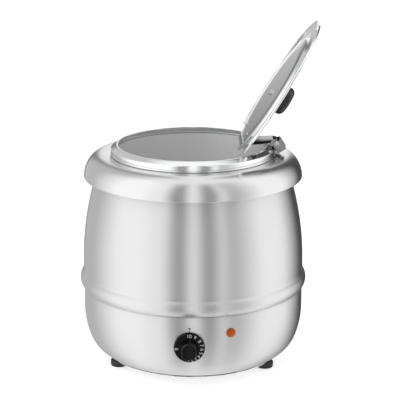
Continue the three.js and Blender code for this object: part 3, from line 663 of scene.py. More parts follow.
@dataclass
class Casing(Assembly):
    """Barrel, bowl-shaped lower wall and the collar on top."""

    bead_out: float = 5 * MM
    bead_height: float = 22.5 * MM
    belly: float = 150 * MM
    bowl_arc: float = 124 * MM
    bowl_top: float = 80 * MM
    bowl_turn: float = 19.8
    heel_arc: float = 48 * MM
    side_arc: float = 40 * MM
    side_turn: float = 36.87
    shoulder_arc: float = 22 * MM
    collar_sheet: float = 1.2 * MM
    collar_lip: float = 8 * MM
    neck_flange: float = 5.5 * MM
    base_flange: float = 19 * MM
    lap_gap: float = 1.6 * MM
    mouth_overlap: float = 3.4 * MM

    @property
    def barrel_radius(self) -> float:
        """Radius of the barrel at its belly."""
        return (CASING_HIGH.x - CASING_LOW.x) / 2 - self.bead_out

    @property
    def neck(self) -> Point:
        """Radius and height of the barrel's top edge."""
        tank_low, tank_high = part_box("water_tank")
        return (tank_high.x - tank_low.x) / 2 - SHEET, CASING_HIGH.z - SHEET

    def barrel_at(self, height: float) -> float:
        """Radius of the barrel at a height.

        Args:
            height: Height over the floor.

        Returns:
            The radius.
        """
        neck_radius, neck_height = self.neck
        share = (height - self.belly) / (neck_height - self.belly)
        return self.barrel_radius - (self.barrel_radius - neck_radius) * share**2

    def wall_radius(self) -> float:
        """Radius of the lower wall's straight part."""
        low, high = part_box("lower_casing")
        return (high.y - low.y) / 2

    def wall_at(self, height: float) -> float:
        """Radius of the lower wall at a height.

        Args:
            height: Height over the floor.

        Returns:
            The radius.
        """
        if height >= self.bowl_top:
            return self.wall_radius()
        drop = self.bowl_top - height
        return self.wall_radius() - self.bowl_arc + math.sqrt(self.bowl_arc**2 - drop**2)

    def upper_casing(self) -> bpy.types.Object:
        """The barrel, with its pressed bead and rolled bottom edge.

        Returns:
            The barrel.
        """
        seam = CASING_LOW.z
        middle = seam + self.bead_height / 2
        bulge = (self.bead_height**2 / 4 + self.bead_out**2) / (2 * self.bead_out)
        half = math.degrees(math.asin(self.bead_height / 2 / bulge))
        centre = (self.barrel_radius + self.bead_out - bulge, middle)
        bead = arc(centre, bulge, -half + 3, half - 4, 22)
        root = seam + self.bead_height
        blend = [
            (self.barrel_radius + 0.10 * MM, root + 0.4 * MM),
            (self.barrel_radius - 0.12 * MM, root + 1.6 * MM),
        ]
        top = CASING_HIGH.z
        start, steps = root + 4 * MM, 36
        rise = [start + (top - start) * i / steps for i in range(steps + 1)]
        barrel = [(self.barrel_at(z), z) for z in rise]
        outside = bead + blend + barrel
        inside = [(r - SHEET, z) for r, z in outside]
        inside[-1] = (inside[-1][0], top - SHEET)
        flange = self.neck[0] - self.neck_flange
        hem = arc((bead[0][0] - SHEET / 2, seam + SHEET / 2), SHEET / 2, 180, 360, 6)
        loop = [*hem, *outside, (flange, top), (flange, top - SHEET), *inside[::-1]]
        return revolve("barrel", loop, 192)

    def lower_casing(self) -> bpy.types.Object:
        """The lower wall, joggled in under the seam and turned in at the base.

        Returns:
            The lower wall.
        """
        low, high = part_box("lower_casing")
        radius = self.wall_radius()
        bowl = (radius - self.bowl_arc, self.bowl_top)
        turn = math.radians(self.bowl_turn)
        reach = self.bowl_arc - self.heel_arc
        heel = (bowl[0] + reach * math.cos(turn), bowl[1] - reach * math.sin(turn))
        end = math.degrees(math.asin((heel[1] - low.z) / self.heel_arc))

        def skin(inset: float) -> list[Point]:
            """The bowl's curve, moved in by the sheet.

            Args:
                inset: How far it is moved in.

            Returns:
                The curve's points, from the base up.
            """
            heel_part = arc(heel, self.heel_arc - inset, -end, -self.bowl_turn, 18)
            return heel_part + arc(bowl, self.bowl_arc - inset, -self.bowl_turn, 0, 14)[1:]

        lap = self.barrel_radius - SHEET - self.lap_gap
        joggle = CASING_LOW.z - 1.5 * MM
        ends = [(radius, joggle - 2 * MM), (lap + 0.5 * MM, joggle + 0.2 * MM), (lap, joggle + 1.5 * MM)]
        outside = skin(0.0) + ends + [(lap, high.z)]
        inside = [(r - SHEET, z) for r, z in ends + [(lap, high.z)]][::-1] + skin(SHEET)[::-1]
        inside[-1] = (inside[-1][0], low.z + SHEET)
        flange = outside[0][0] - self.base_flange
        loop = [*outside, *inside, (flange, low.z + SHEET), (flange, low.z)]
        return revolve("lower_wall", loop, 192)

    def collar(self) -> bpy.types.Object:
        """The pressed top cover, with a rolled skirt edge and a lip into the well.

        Returns:
            The collar.
        """
        low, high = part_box("top_collar")
        radius = (high.y - low.y) / 2
        mouth = self.mouth_radius()
        skirt, top = low.z, high.z
        turn = math.radians(self.side_turn)
        shoulder = radius - self.side_arc + (self.side_arc - self.shoulder_arc) * math.cos(turn)

        def skin(inset: float) -> list[Point]:
            """The side and the shoulder, moved in by the sheet.

            Args:
                inset: How far they are moved in.

            Returns:
                The curve's points, from the skirt up.
            """
            side = arc((radius - self.side_arc, skirt), self.side_arc - inset, 1.2, self.side_turn, 16)
            crown = (shoulder, top - self.shoulder_arc)
            return side + arc(crown, self.shoulder_arc - inset, self.side_turn, 90, 16)[1:]

        sheet = self.collar_sheet
        lip = top - self.collar_lip
        back = self.barrel_at(skirt) + 1.5 * MM
        roll = arc((radius - 0.9 * MM, skirt + 0.9 * MM), 0.9 * MM, -90, 0, 6)
        edge = [(mouth + 0.8 * MM, top), (mouth + 0.25 * MM, top - 0.25 * MM), (mouth, top - 0.8 * MM)]
        loop = [
            (back, skirt),
            *roll[:-1],
            *skin(0.0),
            *edge,
            (mouth, lip),
            (mouth + sheet, lip),
            (mouth + sheet, top - sheet),
            *skin(sheet)[::-1],
            (radius - sheet * 1.2, skirt + sheet * 1.1),
            (back, skirt + sheet),
        ]
        return revolve("collar", loop, 192)

    def mouth_radius(self) -> float:
        """Radius of the hole in the collar."""
        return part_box("insert_pot")[1].y - self.mouth_overlap

    def pointer(self, knob_height: float) -> bpy.types.Object:
        """The small printed triangle on the wall above the knob.

        Args:
            knob_height: Height of the knob's axis.

        Returns:
            The mark.
        """
        tip, wide, tall = knob_height + 25.4 * MM, 2.5 * MM, 3.0 * MM
        shape = bmesh.new()
        for x, z in ((0.0, tip), (wide, tip + tall), (-wide, tip + tall)):
            for out in (0.02 * MM, 0.10 * MM):
                radius = self.wall_at(z) + out
                shape.verts.new((AXIS.x + x, -math.sqrt(radius**2 - x**2), z))
        bmesh.ops.convex_hull(shape, input=shape.verts)
        return from_bmesh("pointer_mark", shape)

    def build(self) -> None:
        """Builds the casing's shells and its printed mark."""
        self.fit(self.upper_casing(), "housing", Slot.CASING, ["upper_casing"])
        self.fit(self.lower_casing(), "housing", Slot.CASING, ["lower_casing"])
        self.fit(self.collar(), "housing", Slot.CASING, ["top_collar"], "spun_collar")
        low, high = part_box("control_knob")
        mark = self.pointer((low.z + high.z) / 2)
        self.fit(mark, "housing", Slot.BLACK, finish="print_black")


# ------------------------------------------------------------------ vessels


@dataclass
class Vessels(Assembly):
    """Lift-out pot and the ring that seats on it."""

    corner: float = 12 * MM
    rim_height: float = 3 * MM
    rim_out: float = 4.9 * MM
    ring_sheet: float = 1.2 * MM
    ring_rise: float = 4.8 * MM
    ring_overlap: float = 3.5 * MM

    def pot(self) -> bpy.types.Object:
        """The soup pot, with its rolled rim.

        Returns:
            The pot.
        """
        low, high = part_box("insert_pot")
        rim = (high.y - low.y) / 2
        outer = rim - self.rim_out
        rim_low = high.z - self.rim_height
        floor = arc((outer - self.corner, low.z + self.corner), self.corner, -90, 0, 10)
        inner_arc = self.corner - SHEET
        bottom = arc((outer - self.corner, low.z + self.corner), inner_arc, 0, -90, 10)
        wall = [(outer, low.z + 30 * MM), (outer, high.z - 30 * MM), (outer, rim_low)]
        roll = arc((rim - 1.5 * MM, rim_low + 1.5 * MM), 1.5 * MM, -90, 90, 10)
        inside = [(outer - SHEET + 0.8 * MM, high.z), (outer - SHEET, high.z - 0.8 * MM)]
        loop = [(0.0, low.z), *floor, *wall, *roll, *inside, *bottom, (0.0, low.z + SHEET)]
        return revolve("soup_pot", loop, 160, closed=False)

    def ring(self) -> bpy.types.Object:
        """The polished ring: upright wall, rolled shoulder, sloping top and an inner lip.

        Returns:
            The ring.
        """
        low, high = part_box("lid_ring")
        radius = (high.y - low.y) / 2
        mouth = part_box("insert_pot")[1].y - self.rim_out - SHEET - self.ring_overlap
        wall_top = high.z - self.ring_rise
        sheet = self.ring_sheet
        corners = [
            (radius - sheet, low.z, 0.2 * MM),
            (radius, low.z, 0.3 * MM),
            (radius, low.z + 1.2 * MM, 0.3 * MM),
            (radius - 0.35 * MM, low.z + 1.7 * MM, 0.5 * MM),
            (radius - 0.35 * MM, wall_top - 1.0 * MM, 1.6 * MM),
            (radius - 1.2 * MM, wall_top + 0.2 * MM, 1.2 * MM),
            (mouth + 3.0 * MM, high.z - 0.25 * MM, 3 * MM),
            (mouth, high.z - 0.05 * MM, 1.1 * MM),
            (mouth, high.z - 4 * MM, 0.3 * MM),
            (mouth + sheet, high.z - 4 * MM, 0.2 * MM),
            (mouth + sheet, high.z - sheet - 0.9 * MM, 0.8 * MM),
            (radius - sheet, wall_top - 1.6 * MM, 0.8 * MM),
        ]
        return revolve("lid_seat_ring", rounded(corners, 6), 192)

    def build(self) -> None:
        """Builds the pot and the ring."""
        self.fit(self.pot(), "insert_pot", Slot.SATIN, ["insert_pot"])
        self.fit(self.ring(), "lid_ring", Slot.MIRROR, ["lid_ring"])


# ---------------------------------------------------------------------- lid


@dataclass
class Lid(Assembly):
    """The round lid, drawn shut about the kettle's axis and then swung to its parked place."""

    radius: float = 125 * MM
    rear_radius: float = 109.5 * MM
    band: float = 28 * MM
    step_width: float = 4 * MM
    sink: float = 4 * MM
    rim_height: float = 4 * MM
    notch_half: float = 16 * MM
    notch_depth: float = 12 * MM
    band_height: float = 328.2 * MM
    edge_round: float = 2.4 * MM
    edge_fall: float = 1.2 * MM
    rim_angles: int = 1440

    @property
    def joint(self) -> dict[str, object]:
        """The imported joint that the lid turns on."""
        return next(j for j in frame["joints"] if j["name"] == "lid_hinge")

    def hinge(self) -> Vector:
        """Where the lid turns."""
        return Vector(self.joint["pos_m"])

    def parked(self) -> Matrix:
        """The move from the shut lid's place to the parked one.

        Returns:
            The move.
        """
        hinge = self.hinge()
        turn = Matrix.Rotation(math.radians(-min(self.joint["range_deg"])), 4, "Y")
        return Matrix.Translation(hinge) @ turn @ Matrix.Translation(-hinge)

    def edge_at(self, angle: float) -> float:
        """Distance from the lid's centre to its edge in a direction.

        Args:
            angle: Direction in radians; zero points to the hinge side.

        Returns:
            The distance.
        """
        trim = self.hinge().x - AXIS.x - 1.0 * MM
        if math.cos(angle) > 0:
            return min(self.radius, max(self.rear_radius, trim / math.cos(angle)))
        side = self.radius * math.sin(angle)
        if abs(side) >= self.notch_half:
            return self.radius
        return self.radius - self.notch_depth * math.sqrt(1 - (side / self.notch_half) ** 2)

    def edge(self) -> list[tuple[float, float]]:
        """The lid's edge as (angle, distance), with its corners eased.

        Returns:
            The edge's points, closer together where it bends.
        """
        fine = self.rim_angles
        raw = [self.edge_at(2 * math.pi * i / fine) for i in range(fine)]
        eased = []
        for i in range(fine):
            near = [raw[(i + k) % fine] for k in range(-3, 4)]
            eased.append(sum(near) / len(near))
        keep = [
            i
            for i in range(fine)
            if i % 8 == 0 or abs(eased[i] - eased[i - 1]) + abs(eased[i] - eased[(i + 1) % fine]) > 1e-6
        ]
        return [(2 * math.pi * i / fine, eased[i]) for i in keep]

    def sheet(self) -> bpy.types.Object:
        """The lid's pressed sheet: sunken middle, step, flat band and turned-down rim.

        Returns:
            The sheet.
        """
        half = SHEET / 2
        edge = self.edge()
        inner = self.radius - self.band
        floor = inner - self.step_width
        top = self.band_height + half
        profile: list[Point] = [(r, top - self.sink) for r in (20 * MM, 45 * MM, 70 * MM)]
        profile += [
            (floor - 1.2 * MM, top - self.sink),
            (floor, top - self.sink + 0.25 * MM),
            (floor + 1.0 * MM, top - self.sink + 1.0 * MM),
            (inner - 1.0 * MM, top - 1.0 * MM),
            (inner, top - 0.25 * MM),
            (inner + 1.2 * MM, top),
        ]
        shape = bmesh.new()
        hub = shape.verts.new((0, 0, top - self.sink))
        rows = []
        for angle, reach in edge:
            cos, sin = math.cos(angle), math.sin(angle)
            full = max(0.0, min(1.0, (reach - self.rear_radius - 9 * MM) / (4 * MM)))
            drop = (1.2 + 2.8 * full) * MM
            last = reach - self.edge_round
            row = [*profile]
            for share in (0.4, 0.75, 1.0):
                row.append((inner + 1.2 * MM + (last - inner - 1.2 * MM) * share, top))
            for turn in (22, 45, 68, 90):
                bend = math.radians(turn)
                fall = self.edge_fall * (1 - math.cos(bend))
                row.append((last + self.edge_round * math.sin(bend), top - fall))
            row.append((reach, top - drop))
            rows.append([shape.verts.new((r * cos, r * sin, z)) for r, z in row])
        for here, there in zip(rows, rows[1:] + rows[:1], strict=True):
            shape.faces.new((hub, here[0], there[0]))
            for k in range(len(here) - 1):
                shape.faces.new((here[k], here[k + 1], there[k + 1], there[k]))
        shape.transform(self.parked() @ Matrix.Translation(AXIS))
        piece = from_bmesh("lid_disc", shape, 60)
        thick = piece.modifiers.new("sheet", "SOLIDIFY")
        thick.thickness = SHEET
        thick.offset = -1.0
        return piece

    def knob(self) -> bpy.types.Object:
        """The lid's round grip: low crown, waist and a flared foot.

        Returns:
            The grip.
        """
        foot = self.band_height - self.sink + SHEET / 2 + 0.1 * MM
        low = self.band_height + 10 * MM
        crown = 8 * MM
        grip = 22 * MM
        loop = [
            (0.0, foot),
            (9.4 * MM, foot),
            (9.8 * MM, foot + 0.5 * MM),
            (9.6 * MM, foot + 1.4 * MM),
            (8.0 * MM, foot + 5 * MM),
            (7.6 * MM, foot + 9 * MM),
            (8.2 * MM, low - 1.0 * MM),
            (9.8 * MM, low - 0.1 * MM),
            *arc((grip - crown, low + crown), crown, -90, 90, 24),
            (8.5 * MM, low + 2 * crown - 0.25 * MM),
            (0.0, low + 2 * crown - 0.7 * MM),
        ]
        place = self.parked() @ Matrix.Translation(AXIS)
        return revolve("lid_grip", loop, 96, closed=False, place=place, crease=50)

    def build(self) -> None:
        """Builds the lid's sheet and grip."""
        self.fit(self.sheet(), "lid", Slot.MIRROR, ["lid"])
        self.fit(self.knob(), "lid", Slot.BLACK, ["lid_knob"], "polished_black")


# ----------------------------------------------------------------- controls


@dataclass
class Controls(Assembly):
    """Control knob with its printed scale, and the pilot lamp."""

    skirt_height: float = 5 * MM
    hub_steps: int = 128
    hub_corner: int = 16
    digit_size: float = 7.4 * MM
    digit_inset: float = 4.4 * MM
    scale: tuple[tuple[str, float], ...] = (
        ("10", 0.0),
        ("9", 27.0),
        ("8", 54.0),
        ("7", 75.0),
        ("6", 95.0),
        ("5", 113.0),
        ("4", 131.0),
        ("3", 148.0),
        ("2", 166.0),
        ("1", 184.0),
        ("0", 266.6),
    )
    lamp_turn: float = -69.0

    def knob_place(self) -> Matrix:
        """The knob's back face and axis: its own +Z points out of the kettle's front.

        Returns:
            The place.
        """
        low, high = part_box("control_knob")
        middle = Vector(((low.x + high.x) / 2, high.y, (low.z + high.z) / 2))
        return Matrix.Translation(middle) @ Matrix.Rotation(math.radians(90), 4, "X")

    def skirt(self) -> bpy.types.Object:
        """The knob's round skirt, which carries the scale.

        Returns:
            The skirt.
        """
        low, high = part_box("control_knob")
        radius = (high.z - low.z) / 2
        face = self.skirt_height
        loop = [
            (0.0, 0.0),
            (radius - 0.8 * MM, 0.0),
            (radius, 0.8 * MM),
            (radius, 1.8 * MM),
            (radius - 0.3 * MM, 2.5 * MM),
            (radius - 1.5 * MM, face - 0.7 * MM),
            (radius - 1.9 * MM, face - 0.15 * MM),
            (radius - 2.5 * MM, face),
            (radius - 7.0 * MM, face + 0.2 * MM),
            (0.0, face + 0.6 * MM),
        ]
        return revolve("knob_skirt", loop, 128, closed=False, place=self.knob_place(), crease=50)

    def hub(self) -> bpy.types.Object:
        """The knob's grip: a tapered round hub with a flat on each side.

        Returns:
            The hub.
        """
        low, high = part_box("control_knob")
        depth = high.y - low.y
        # Each level is its height, then its radius and half its width over the flats in mm.
        levels = [
            (self.skirt_height - 1.0 * MM, 15.0, 14.8),
            (self.skirt_height + 0.5 * MM, 14.5, 13.6),
            (self.skirt_height + 1.4 * MM, 13.9, 12.4),
            (self.skirt_height + 3.0 * MM, 13.4, 11.6),
            (depth * 0.55, 12.7, 11.1),
            (depth * 0.8, 12.1, 10.8),
            (depth - 2.0 * MM, 11.8, 10.7),
            (depth - 1.2 * MM, 11.5, 10.4),
            (depth - 0.6 * MM, 10.9, 9.9),
            (depth - 0.2 * MM, 10.1, 9.2),
            (depth - 0.02 * MM, 9.2, 8.3),
            (depth + 0.1 * MM, 5.4, 4.9),
        ]
        shape = bmesh.new()
        rows = []
        for height, radius, flat in levels:
            row = []
            for i in range(self.hub_steps):
                turn = 2 * math.pi * i / self.hub_steps
                side = abs(math.cos(turn)) / flat
                power = self.hub_corner
                reach = (radius**-power + side**power) ** (-1 / power) * MM
                row.append(shape.verts.new((reach * math.cos(turn), reach * math.sin(turn), height)))
            rows.append(row)
        tip = shape.verts.new((0, 0, depth + 0.12 * MM))
        for i in range(self.hub_steps):
            n = (i + 1) % self.hub_steps
            for here, there in zip(rows, rows[1:], strict=False):
                shape.faces.new((here[i], here[n], there[n], there[i]))
            shape.faces.new((rows[-1][i], rows[-1][n], tip))
        shape.faces.new(rows[0][::-1])
        shape.transform(self.knob_place())
        return from_bmesh("knob_hub", shape, 50)

    def nib(self) -> bpy.types.Object:
        """The small index on the skirt's rim.

        Returns:
            The index.
        """
        low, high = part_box("control_knob")
        rim = (high.z - low.z) / 2
        shape = bmesh.new()
        for x, y in ((-1.7 * MM, rim - 0.6 * MM), (1.7 * MM, rim - 0.6 * MM), (0.0, rim + 2.0 * MM)):
            for height in (0.3 * MM, 1.6 * MM):
                shape.verts.new((x, y, height))
        bmesh.ops.convex_hull(shape, input=shape.verts)
        shape.transform(self.knob_place())
        return from_bmesh("knob_nib", shape)

    def digits(self) -> bpy.types.Object:
        """The scale's printed digits, set round the skirt.

        Returns:
            The digits, as one piece.
        """
        low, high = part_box("control_knob")
        radius = (high.z - low.z) / 2 - self.digit_inset
        shape = bmesh.new()
        for text, turn in self.scale:
            curve = bpy.data.curves.new("digit", "FONT")
            curve.body = text
            curve.size = self.digit_size
            curve.extrude = 0.03 * MM
            curve.offset = -0.12 * MM
            curve.align_x = curve.align_y = "CENTER"
            ghost = bpy.data.objects.new("digit", curve)
            mesh = bpy.data.meshes.new_from_object(ghost)
            place = Matrix.Rotation(math.radians(-turn), 4, "Z")
            mesh.transform(place @ Matrix.Translation((0, radius, self.skirt_height + 0.17 * MM)))
            shape.from_mesh(mesh)
            bpy.data.objects.remove(ghost)
            bpy.data.meshes.remove(mesh)
            bpy.data.curves.remove(curve)
        shape.transform(self.knob_place())
        return from_bmesh("dial_digits", shape, 30)

    def lens(self) -> bpy.types.Object:
        """The lamp's domed lens with a small flange.

        Returns:
            The lens.
        """
        low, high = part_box("pilot_lens")
        radius = (high.z - low.z) / 2
        turn = math.radians(self.lamp_turn)
        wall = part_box("lower_casing")[1].y
        out = Matrix.Rotation(turn, 4, "Z") @ Matrix.Rotation(math.radians(90), 4, "Y")
        centre = AXIS + Vector((math.cos(turn) * wall, math.sin(turn) * wall, (low.z + high.z) / 2))
        loop = [
            (0.0, 0.3 * MM),
            (radius, 0.3 * MM),
            (radius, 1.2 * MM),
            (radius - 0.35 * MM, 1.7 * MM),
            (radius - 1.0 * MM, 1.9 * MM),
            (radius - 1.5 * MM, 2.0 * MM),
            (radius - 1.9 * MM, 2.7 * MM),
            (radius - 2.9 * MM, 3.7 * MM),
            (radius - 4.4 * MM, 4.35 * MM),
            (0.0, 4.6 * MM),
        ]
        place = Matrix.Translation(centre) @ out
        return revolve("lamp_lens", loop, 64, closed=False, place=place, crease=50)

    def build(self) -> None:
        """Builds the knob and the lamp's lens."""
        self.fit(self.skirt(), "control_knob", Slot.BLACK, ["control_knob"])
        self.fit(self.hub(), "control_knob", Slot.BLACK)
        self.fit(self.nib(), "control_knob", Slot.BLACK)
        self.fit(self.digits(), "control_knob", Slot.BLACK, finish="print_white")
        self.fit(self.lens(), "housing", Slot.LENS, ["pilot_lens"])


# --------------------------------------------------------------- small parts


@dataclass
class RoundParts(Assembly):
    """Feet, cable gland and the pins of the hinge, turned finely."""

    gland_out: float = 27.5 * MM

    def foot(self, node: str) -> bpy.types.Object:
        """A tapered rubber foot with a recess for its screw.

        Args:
            node: CAD node that it stands for.

        Returns:
            The foot.
        """
        low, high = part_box(node)
        radius, top = (high.x - low.x) / 2, high.z
        recess = radius * 0.48
        loop = [
            (recess, 0.0),
            *arc((radius - 1.6 * MM, 1.2 * MM), 1.2 * MM, -90, 0, 6),
            (radius, 2.4 * MM),
            (radius, top - 0.5 * MM),
            (radius - 0.5 * MM, top),
            (recess * 0.4, top),
            (recess * 0.4, 3.6 * MM),
            (recess - 0.5 * MM, 3.6 * MM),
            (recess, 3.1 * MM),
        ]
        middle = Vector(((low.x + high.x) / 2, (low.y + high.y) / 2, 0.0))
        return revolve(f"{node}_pad", loop, 64, place=Matrix.Translation(middle))

    def pin(self, name: str, node: str, bore: float, crown: float) -> bpy.types.Object:
        """A headed pin along Y with domed ends.

        Args:
            name: Name of the piece.
            node: CAD node that it stands for.
            bore: Radius of its shank.
            crown: Height of each head; zero for a plain rod.

        Returns:
            The pin.
        """
        low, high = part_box(node)
        head, half = (high.z - low.z) / 2, (high.y - low.y) / 2
        end = [(0.0, half), (head * 0.45, half - 0.06 * MM), (head * 0.8, half - 0.32 * MM)]
        end += [(head, half - 0.75 * MM)]
        if crown:
            end += [(head, half - crown), (bore, half - crown)]
        loop = end + [(r, -z) for r, z in reversed(end)]
        middle = (low + high) / 2
        place = Matrix.Translation(middle) @ Matrix.Rotation(math.radians(90), 4, "X")
        return revolve(name, loop, 48, closed=False, place=place)

    def gland(self) -> bpy.types.Object:
        """The cable gland: flange, fluted body and domed nut about an open bore.

        Returns:
            The gland.
        """
        low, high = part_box("cable_gland")
        middle = Vector(((low.x + high.x) / 2, 0.0, (low.z + high.z) / 2))
        out = high.y
        flange = out - self.gland_out
        bore, body = 4.2 * MM, 11 * MM
        loop = [
            (bore, low.y),
            (9 * MM, low.y),
            (9 * MM, flange),
            (11.6 * MM, flange),
            (12 * MM, flange + 0.5 * MM),
            (12 * MM, flange + 6.4 * MM),
            (11.4 * MM, flange + 7.2 * MM),
            (body, flange + 8 * MM),
            (body, out - 8 * MM),
            (body - 0.4 * MM, out - 6.6 * MM),
            (body - 1.4 * MM, out - 4.0 * MM),
            (body - 2.8 * MM, out - 1.6 * MM),
            (7.4 * MM, out - 0.2 * MM),
            (7.0 * MM, out),
            (bore + 0.5 * MM, out),
            (bore, out - 0.5 * MM),
        ]
        place = Matrix.Translation(middle) @ Matrix.Rotation(math.radians(-90), 4, "X")
        return revolve("gland_body", loop, 72, place=place)

    def strap_painted_reflection(self, side: int) -> bpy.types.Object:
        """A black sheet along one side of the strap, put there as painted reflection: it stands in for the dark
        reflection on the strap's polished side.

        Args:
            side: -1 for the front side, 1 for the rear.

        Returns:
            The strip.
        """
        low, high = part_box("lid_strap")
        shape = bmesh.new()
        face = (low.y + high.y) / 2 + side * (high.y - low.y) / 2
        rise = high.z - 1.6 * MM
        outline = [
            (low.x + 1.0 * MM, rise - 8.2 * MM),
            (high.x - 13.0 * MM, rise - 4.4 * MM),
            (high.x - 11.0 * MM, rise),
            (low.x + 2.0 * MM, rise - 4.0 * MM),
        ]
        for x, z in outline:
            for out in (-0.05 * MM, 0.2 * MM):
                shape.verts.new((x, face + side * out, z))
        bmesh.ops.convex_hull(shape, input=shape.verts)
        return from_bmesh(f"strap_painted_reflection_{'front' if side < 0 else 'rear'}", shape)

    def build(self) -> None:
        """Builds the round parts."""
        for node in ("foot_rear", "foot_front_left", "foot_front_right"):
            self.fit(self.foot(node), "housing", Slot.RUBBER, [node])
        self.fit(self.gland(), "housing", Slot.BLACK, ["cable_gland"])
        pin = self.pin("strap_pin", "hinge_pin", 2 * MM, 1.4 * MM)
        self.fit(pin, "lid_ring", Slot.PLATED, ["hinge_pin"])
        # Black sheets on both sides of the strap: painted reflection of a dark surround on its polished sides.
        for side in (-1, 1):
            self.fit(self.strap_painted_reflection(side), "lid_strap", Slot.BLACK)
        rod = self.pin("lid_rod", "hinge_rod", 1.65 * MM, 0.0)
        self.fit(rod, "lid_strap", Slot.PLATED, ["hinge_rod"])


@dataclass
class CarriedParts(Assembly):
    """CAD nodes that keep their shape and get a finish and broken edges."""

    edge: float = 0.25 * MM

    def build(self) -> None:
        """Dresses every CAD node that still shows."""
        slots = {row["node"]: row["material_slot"] for row in frame["record"]["subparts"]}
        # The hinge bracket and strap take the darkened steel, as painted shade for their dark reflections.
        dark = ("hinge_bracket", "lid_strap")
        for name, node in frame["nodes"].items():
            if node.hide_render:
                continue
            self.finishes.dress(node, Slot(slots[name]), "hinge_steel_painted_dark" if name in dark else None)
            soften(node, self.edge)
            log.info("%s keeps its CAD shape", name)


# ------------------------------------------------------------------- studio


@dataclass(frozen=True)
class Panel:
    """A soft box, wall or dark flag that stands round the kettle."""

    name: str
    direction: float
    width: float
    level: float

    def stops(self) -> list[Point]:
        """Its two edges, from -180 to 180 degrees, each with its brightness."""
        edges = (self.direction - self.width / 2, self.direction + self.width / 2)
        return [((edge + 180) % 360 - 180, self.level) for edge in edges]


# Directions and widths are in degrees: 0 is in front of the kettle and 90 on its right.
PANELS = [
    Panel("rear wall", 180, 10, 0.7),
    Panel("rear left flag", -165, 5, 0.15),
    Panel("left wall", -140, 30, 0.4),
    Panel("left soft box", -70, 30, 0.85),
    Panel("left fill", -35, 10, 0.75),
    Panel("left gap", -13, 8, 0.25),
    Panel("front strip", 2, 6, 0.7),
    Panel("right gap", 19, 8, 0.25),
    Panel("right strip", 33, 4, 0.6),
    Panel("right fill", 45, 8, 0.4),
    Panel("right soft box", 95, 30, 0.8),
    Panel("rear right flag", 155, 20, 0.05),
]


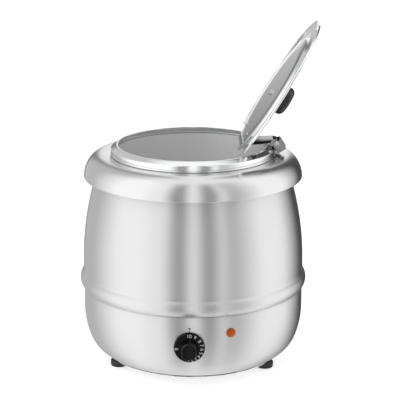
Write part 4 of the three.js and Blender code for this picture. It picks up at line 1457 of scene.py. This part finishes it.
@dataclass
class Studio:
    """Floor, light and camera."""

    azimuth: float = 1.65
    elevation: float = 15.42
    distance: float = 2.362
    lens: float = 142.0
    aim_right: float = 10.4 * MM
    aim_height: float = 239.7 * MM
    strength: float = 1.5
    overhead: float = 0.7
    below: float = 0.75

    def floor(self) -> None:
        """A wide pale floor."""
        shape = bmesh.new()
        bmesh.ops.create_circle(shape, cap_ends=True, radius=40.0, segments=96)
        floor = from_bmesh("studio_floor", shape)
        material = bpy.data.materials.new("studio_floor")
        material.use_nodes = True
        paper = material.node_tree.nodes["Principled BSDF"]
        paper.inputs["Base Color"].default_value = (0.93, 0.93, 0.93, 1.0)
        paper.inputs["Roughness"].default_value = 0.9
        paper.inputs["Emission Color"].default_value = (1.0, 1.0, 1.0, 1.0)
        paper.inputs["Emission Strength"].default_value = 0.5
        floor.data.materials.append(material)
        floor.visible_glossy = False

    def surround(self) -> None:
        """A white room whose soft boxes and dark gaps change with direction and height."""
        world = bpy.data.worlds.new("studio_surround")
        bpy.context.scene.world = world
        world.use_nodes = True
        w = Wiring(world.node_tree)
        light = w.find("ShaderNodeBackground")
        spot = w.node("ShaderNodeTexCoord")
        split = w.node("ShaderNodeSeparateXYZ")
        w.join(spot.outputs["Generated"], split.inputs[0])
        front = w.math("MULTIPLY", split.outputs["Y"], -1.0)
        angle = w.math("ARCTAN2", split.outputs["X"], front)
        share = w.math("ADD", w.math("DIVIDE", angle, 2 * math.pi), 0.5)
        height = split.outputs["Z"]
        tone = self.blend(w, height, (0.78, 0.97), self.bands(w, share), self.overhead)
        tone = self.blend(w, height, (-0.95, -0.7), self.below, tone)
        w.join(tone, light.inputs["Color"])
        light.inputs["Strength"].default_value = self.strength

    def blend(
        self, w: Wiring, height: bpy.types.NodeSocket, span: Point, under: Value, over: Value
    ) -> bpy.types.NodeSocket:
        """Mixes two brightnesses by height.

        Args:
            w: The world's wiring.
            height: Socket of the direction's height, from -1 to 1.
            span: Heights between which one gives way to the other.
            under: Socket or number below the span.
            over: Socket or number above it.

        Returns:
            The mixed socket.
        """
        share = w.node("ShaderNodeMapRange", interpolation_type="SMOOTHSTEP")
        w.join(height, share.inputs["Value"])
        share.inputs["From Min"].default_value, share.inputs["From Max"].default_value = span
        mix = w.node("ShaderNodeMix", data_type="FLOAT")
        w.join(share.outputs["Result"], mix.inputs[0])
        for slot, value in ((mix.inputs[2], under), (mix.inputs[3], over)):
            if isinstance(value, bpy.types.NodeSocket):
                w.join(value, slot)
            else:
                slot.default_value = value
        return mix.outputs[0]

    def bands(self, w: Wiring, share: bpy.types.NodeSocket) -> bpy.types.NodeSocket:
        """A brightness that changes with direction.

        Args:
            w: The world's wiring.
            share: Socket of the direction, from 0 to 1, with the camera's side at 0.5.

        Returns:
            The ramp's output socket.
        """
        for panel in PANELS:
            log.info("%s stands at %g degrees", panel.name, panel.direction)
        made = w.node("ShaderNodeValToRGB")
        w.join(share, made.inputs[0])
        ramp = made.color_ramp
        stops = sorted(stop for panel in PANELS for stop in panel.stops())
        for i, (degrees, level) in enumerate(stops):
            place = degrees / 360 + 0.5
            element = ramp.elements[i] if i < 2 else ramp.elements.new(place)
            element.position = place
            element.color = (level, level, level, 1.0)
        return made.outputs["Color"]

    def camera(self) -> None:
        """The camera, a little above the mouth."""
        turn, rise = math.radians(self.azimuth), math.radians(self.elevation)
        back = Vector((math.sin(turn) * math.cos(rise), -math.cos(turn) * math.cos(rise), math.sin(rise)))
        right = Vector((math.cos(turn), math.sin(turn), 0.0))
        aim = AXIS + right * self.aim_right + Vector((0, 0, self.aim_height))
        data = bpy.data.cameras.new("camera")
        data.lens = self.lens
        data.sensor_width = 36.0
        data.clip_end = 200.0
        camera = bpy.data.objects.new("camera", data)
        camera.location = aim + back * self.distance
        camera.rotation_mode = "QUATERNION"
        camera.rotation_quaternion = (-back).to_track_quat("-Z", "Y")
        bpy.context.scene.collection.objects.link(camera)
        bpy.context.scene.camera = camera

    def build(self) -> None:
        """Builds the studio."""
        self.floor()
        self.surround()
        self.camera()
        bpy.context.scene.view_settings.view_transform = "Standard"


def main() -> None:
    """Builds the kettle and its studio."""
    logging.basicConfig(level=logging.INFO, format="%(name)s: %(message)s")
    Studio().build()
    finishes = Finishes()
    finishes.build()
    parts = [
        Casing(finishes),
        Vessels(finishes),
        Lid(finishes),
        Controls(finishes),
        RoundParts(finishes),
        CarriedParts(finishes),
    ]
    for part in parts:
        part.build()


if __name__ == "__main__":
    main()
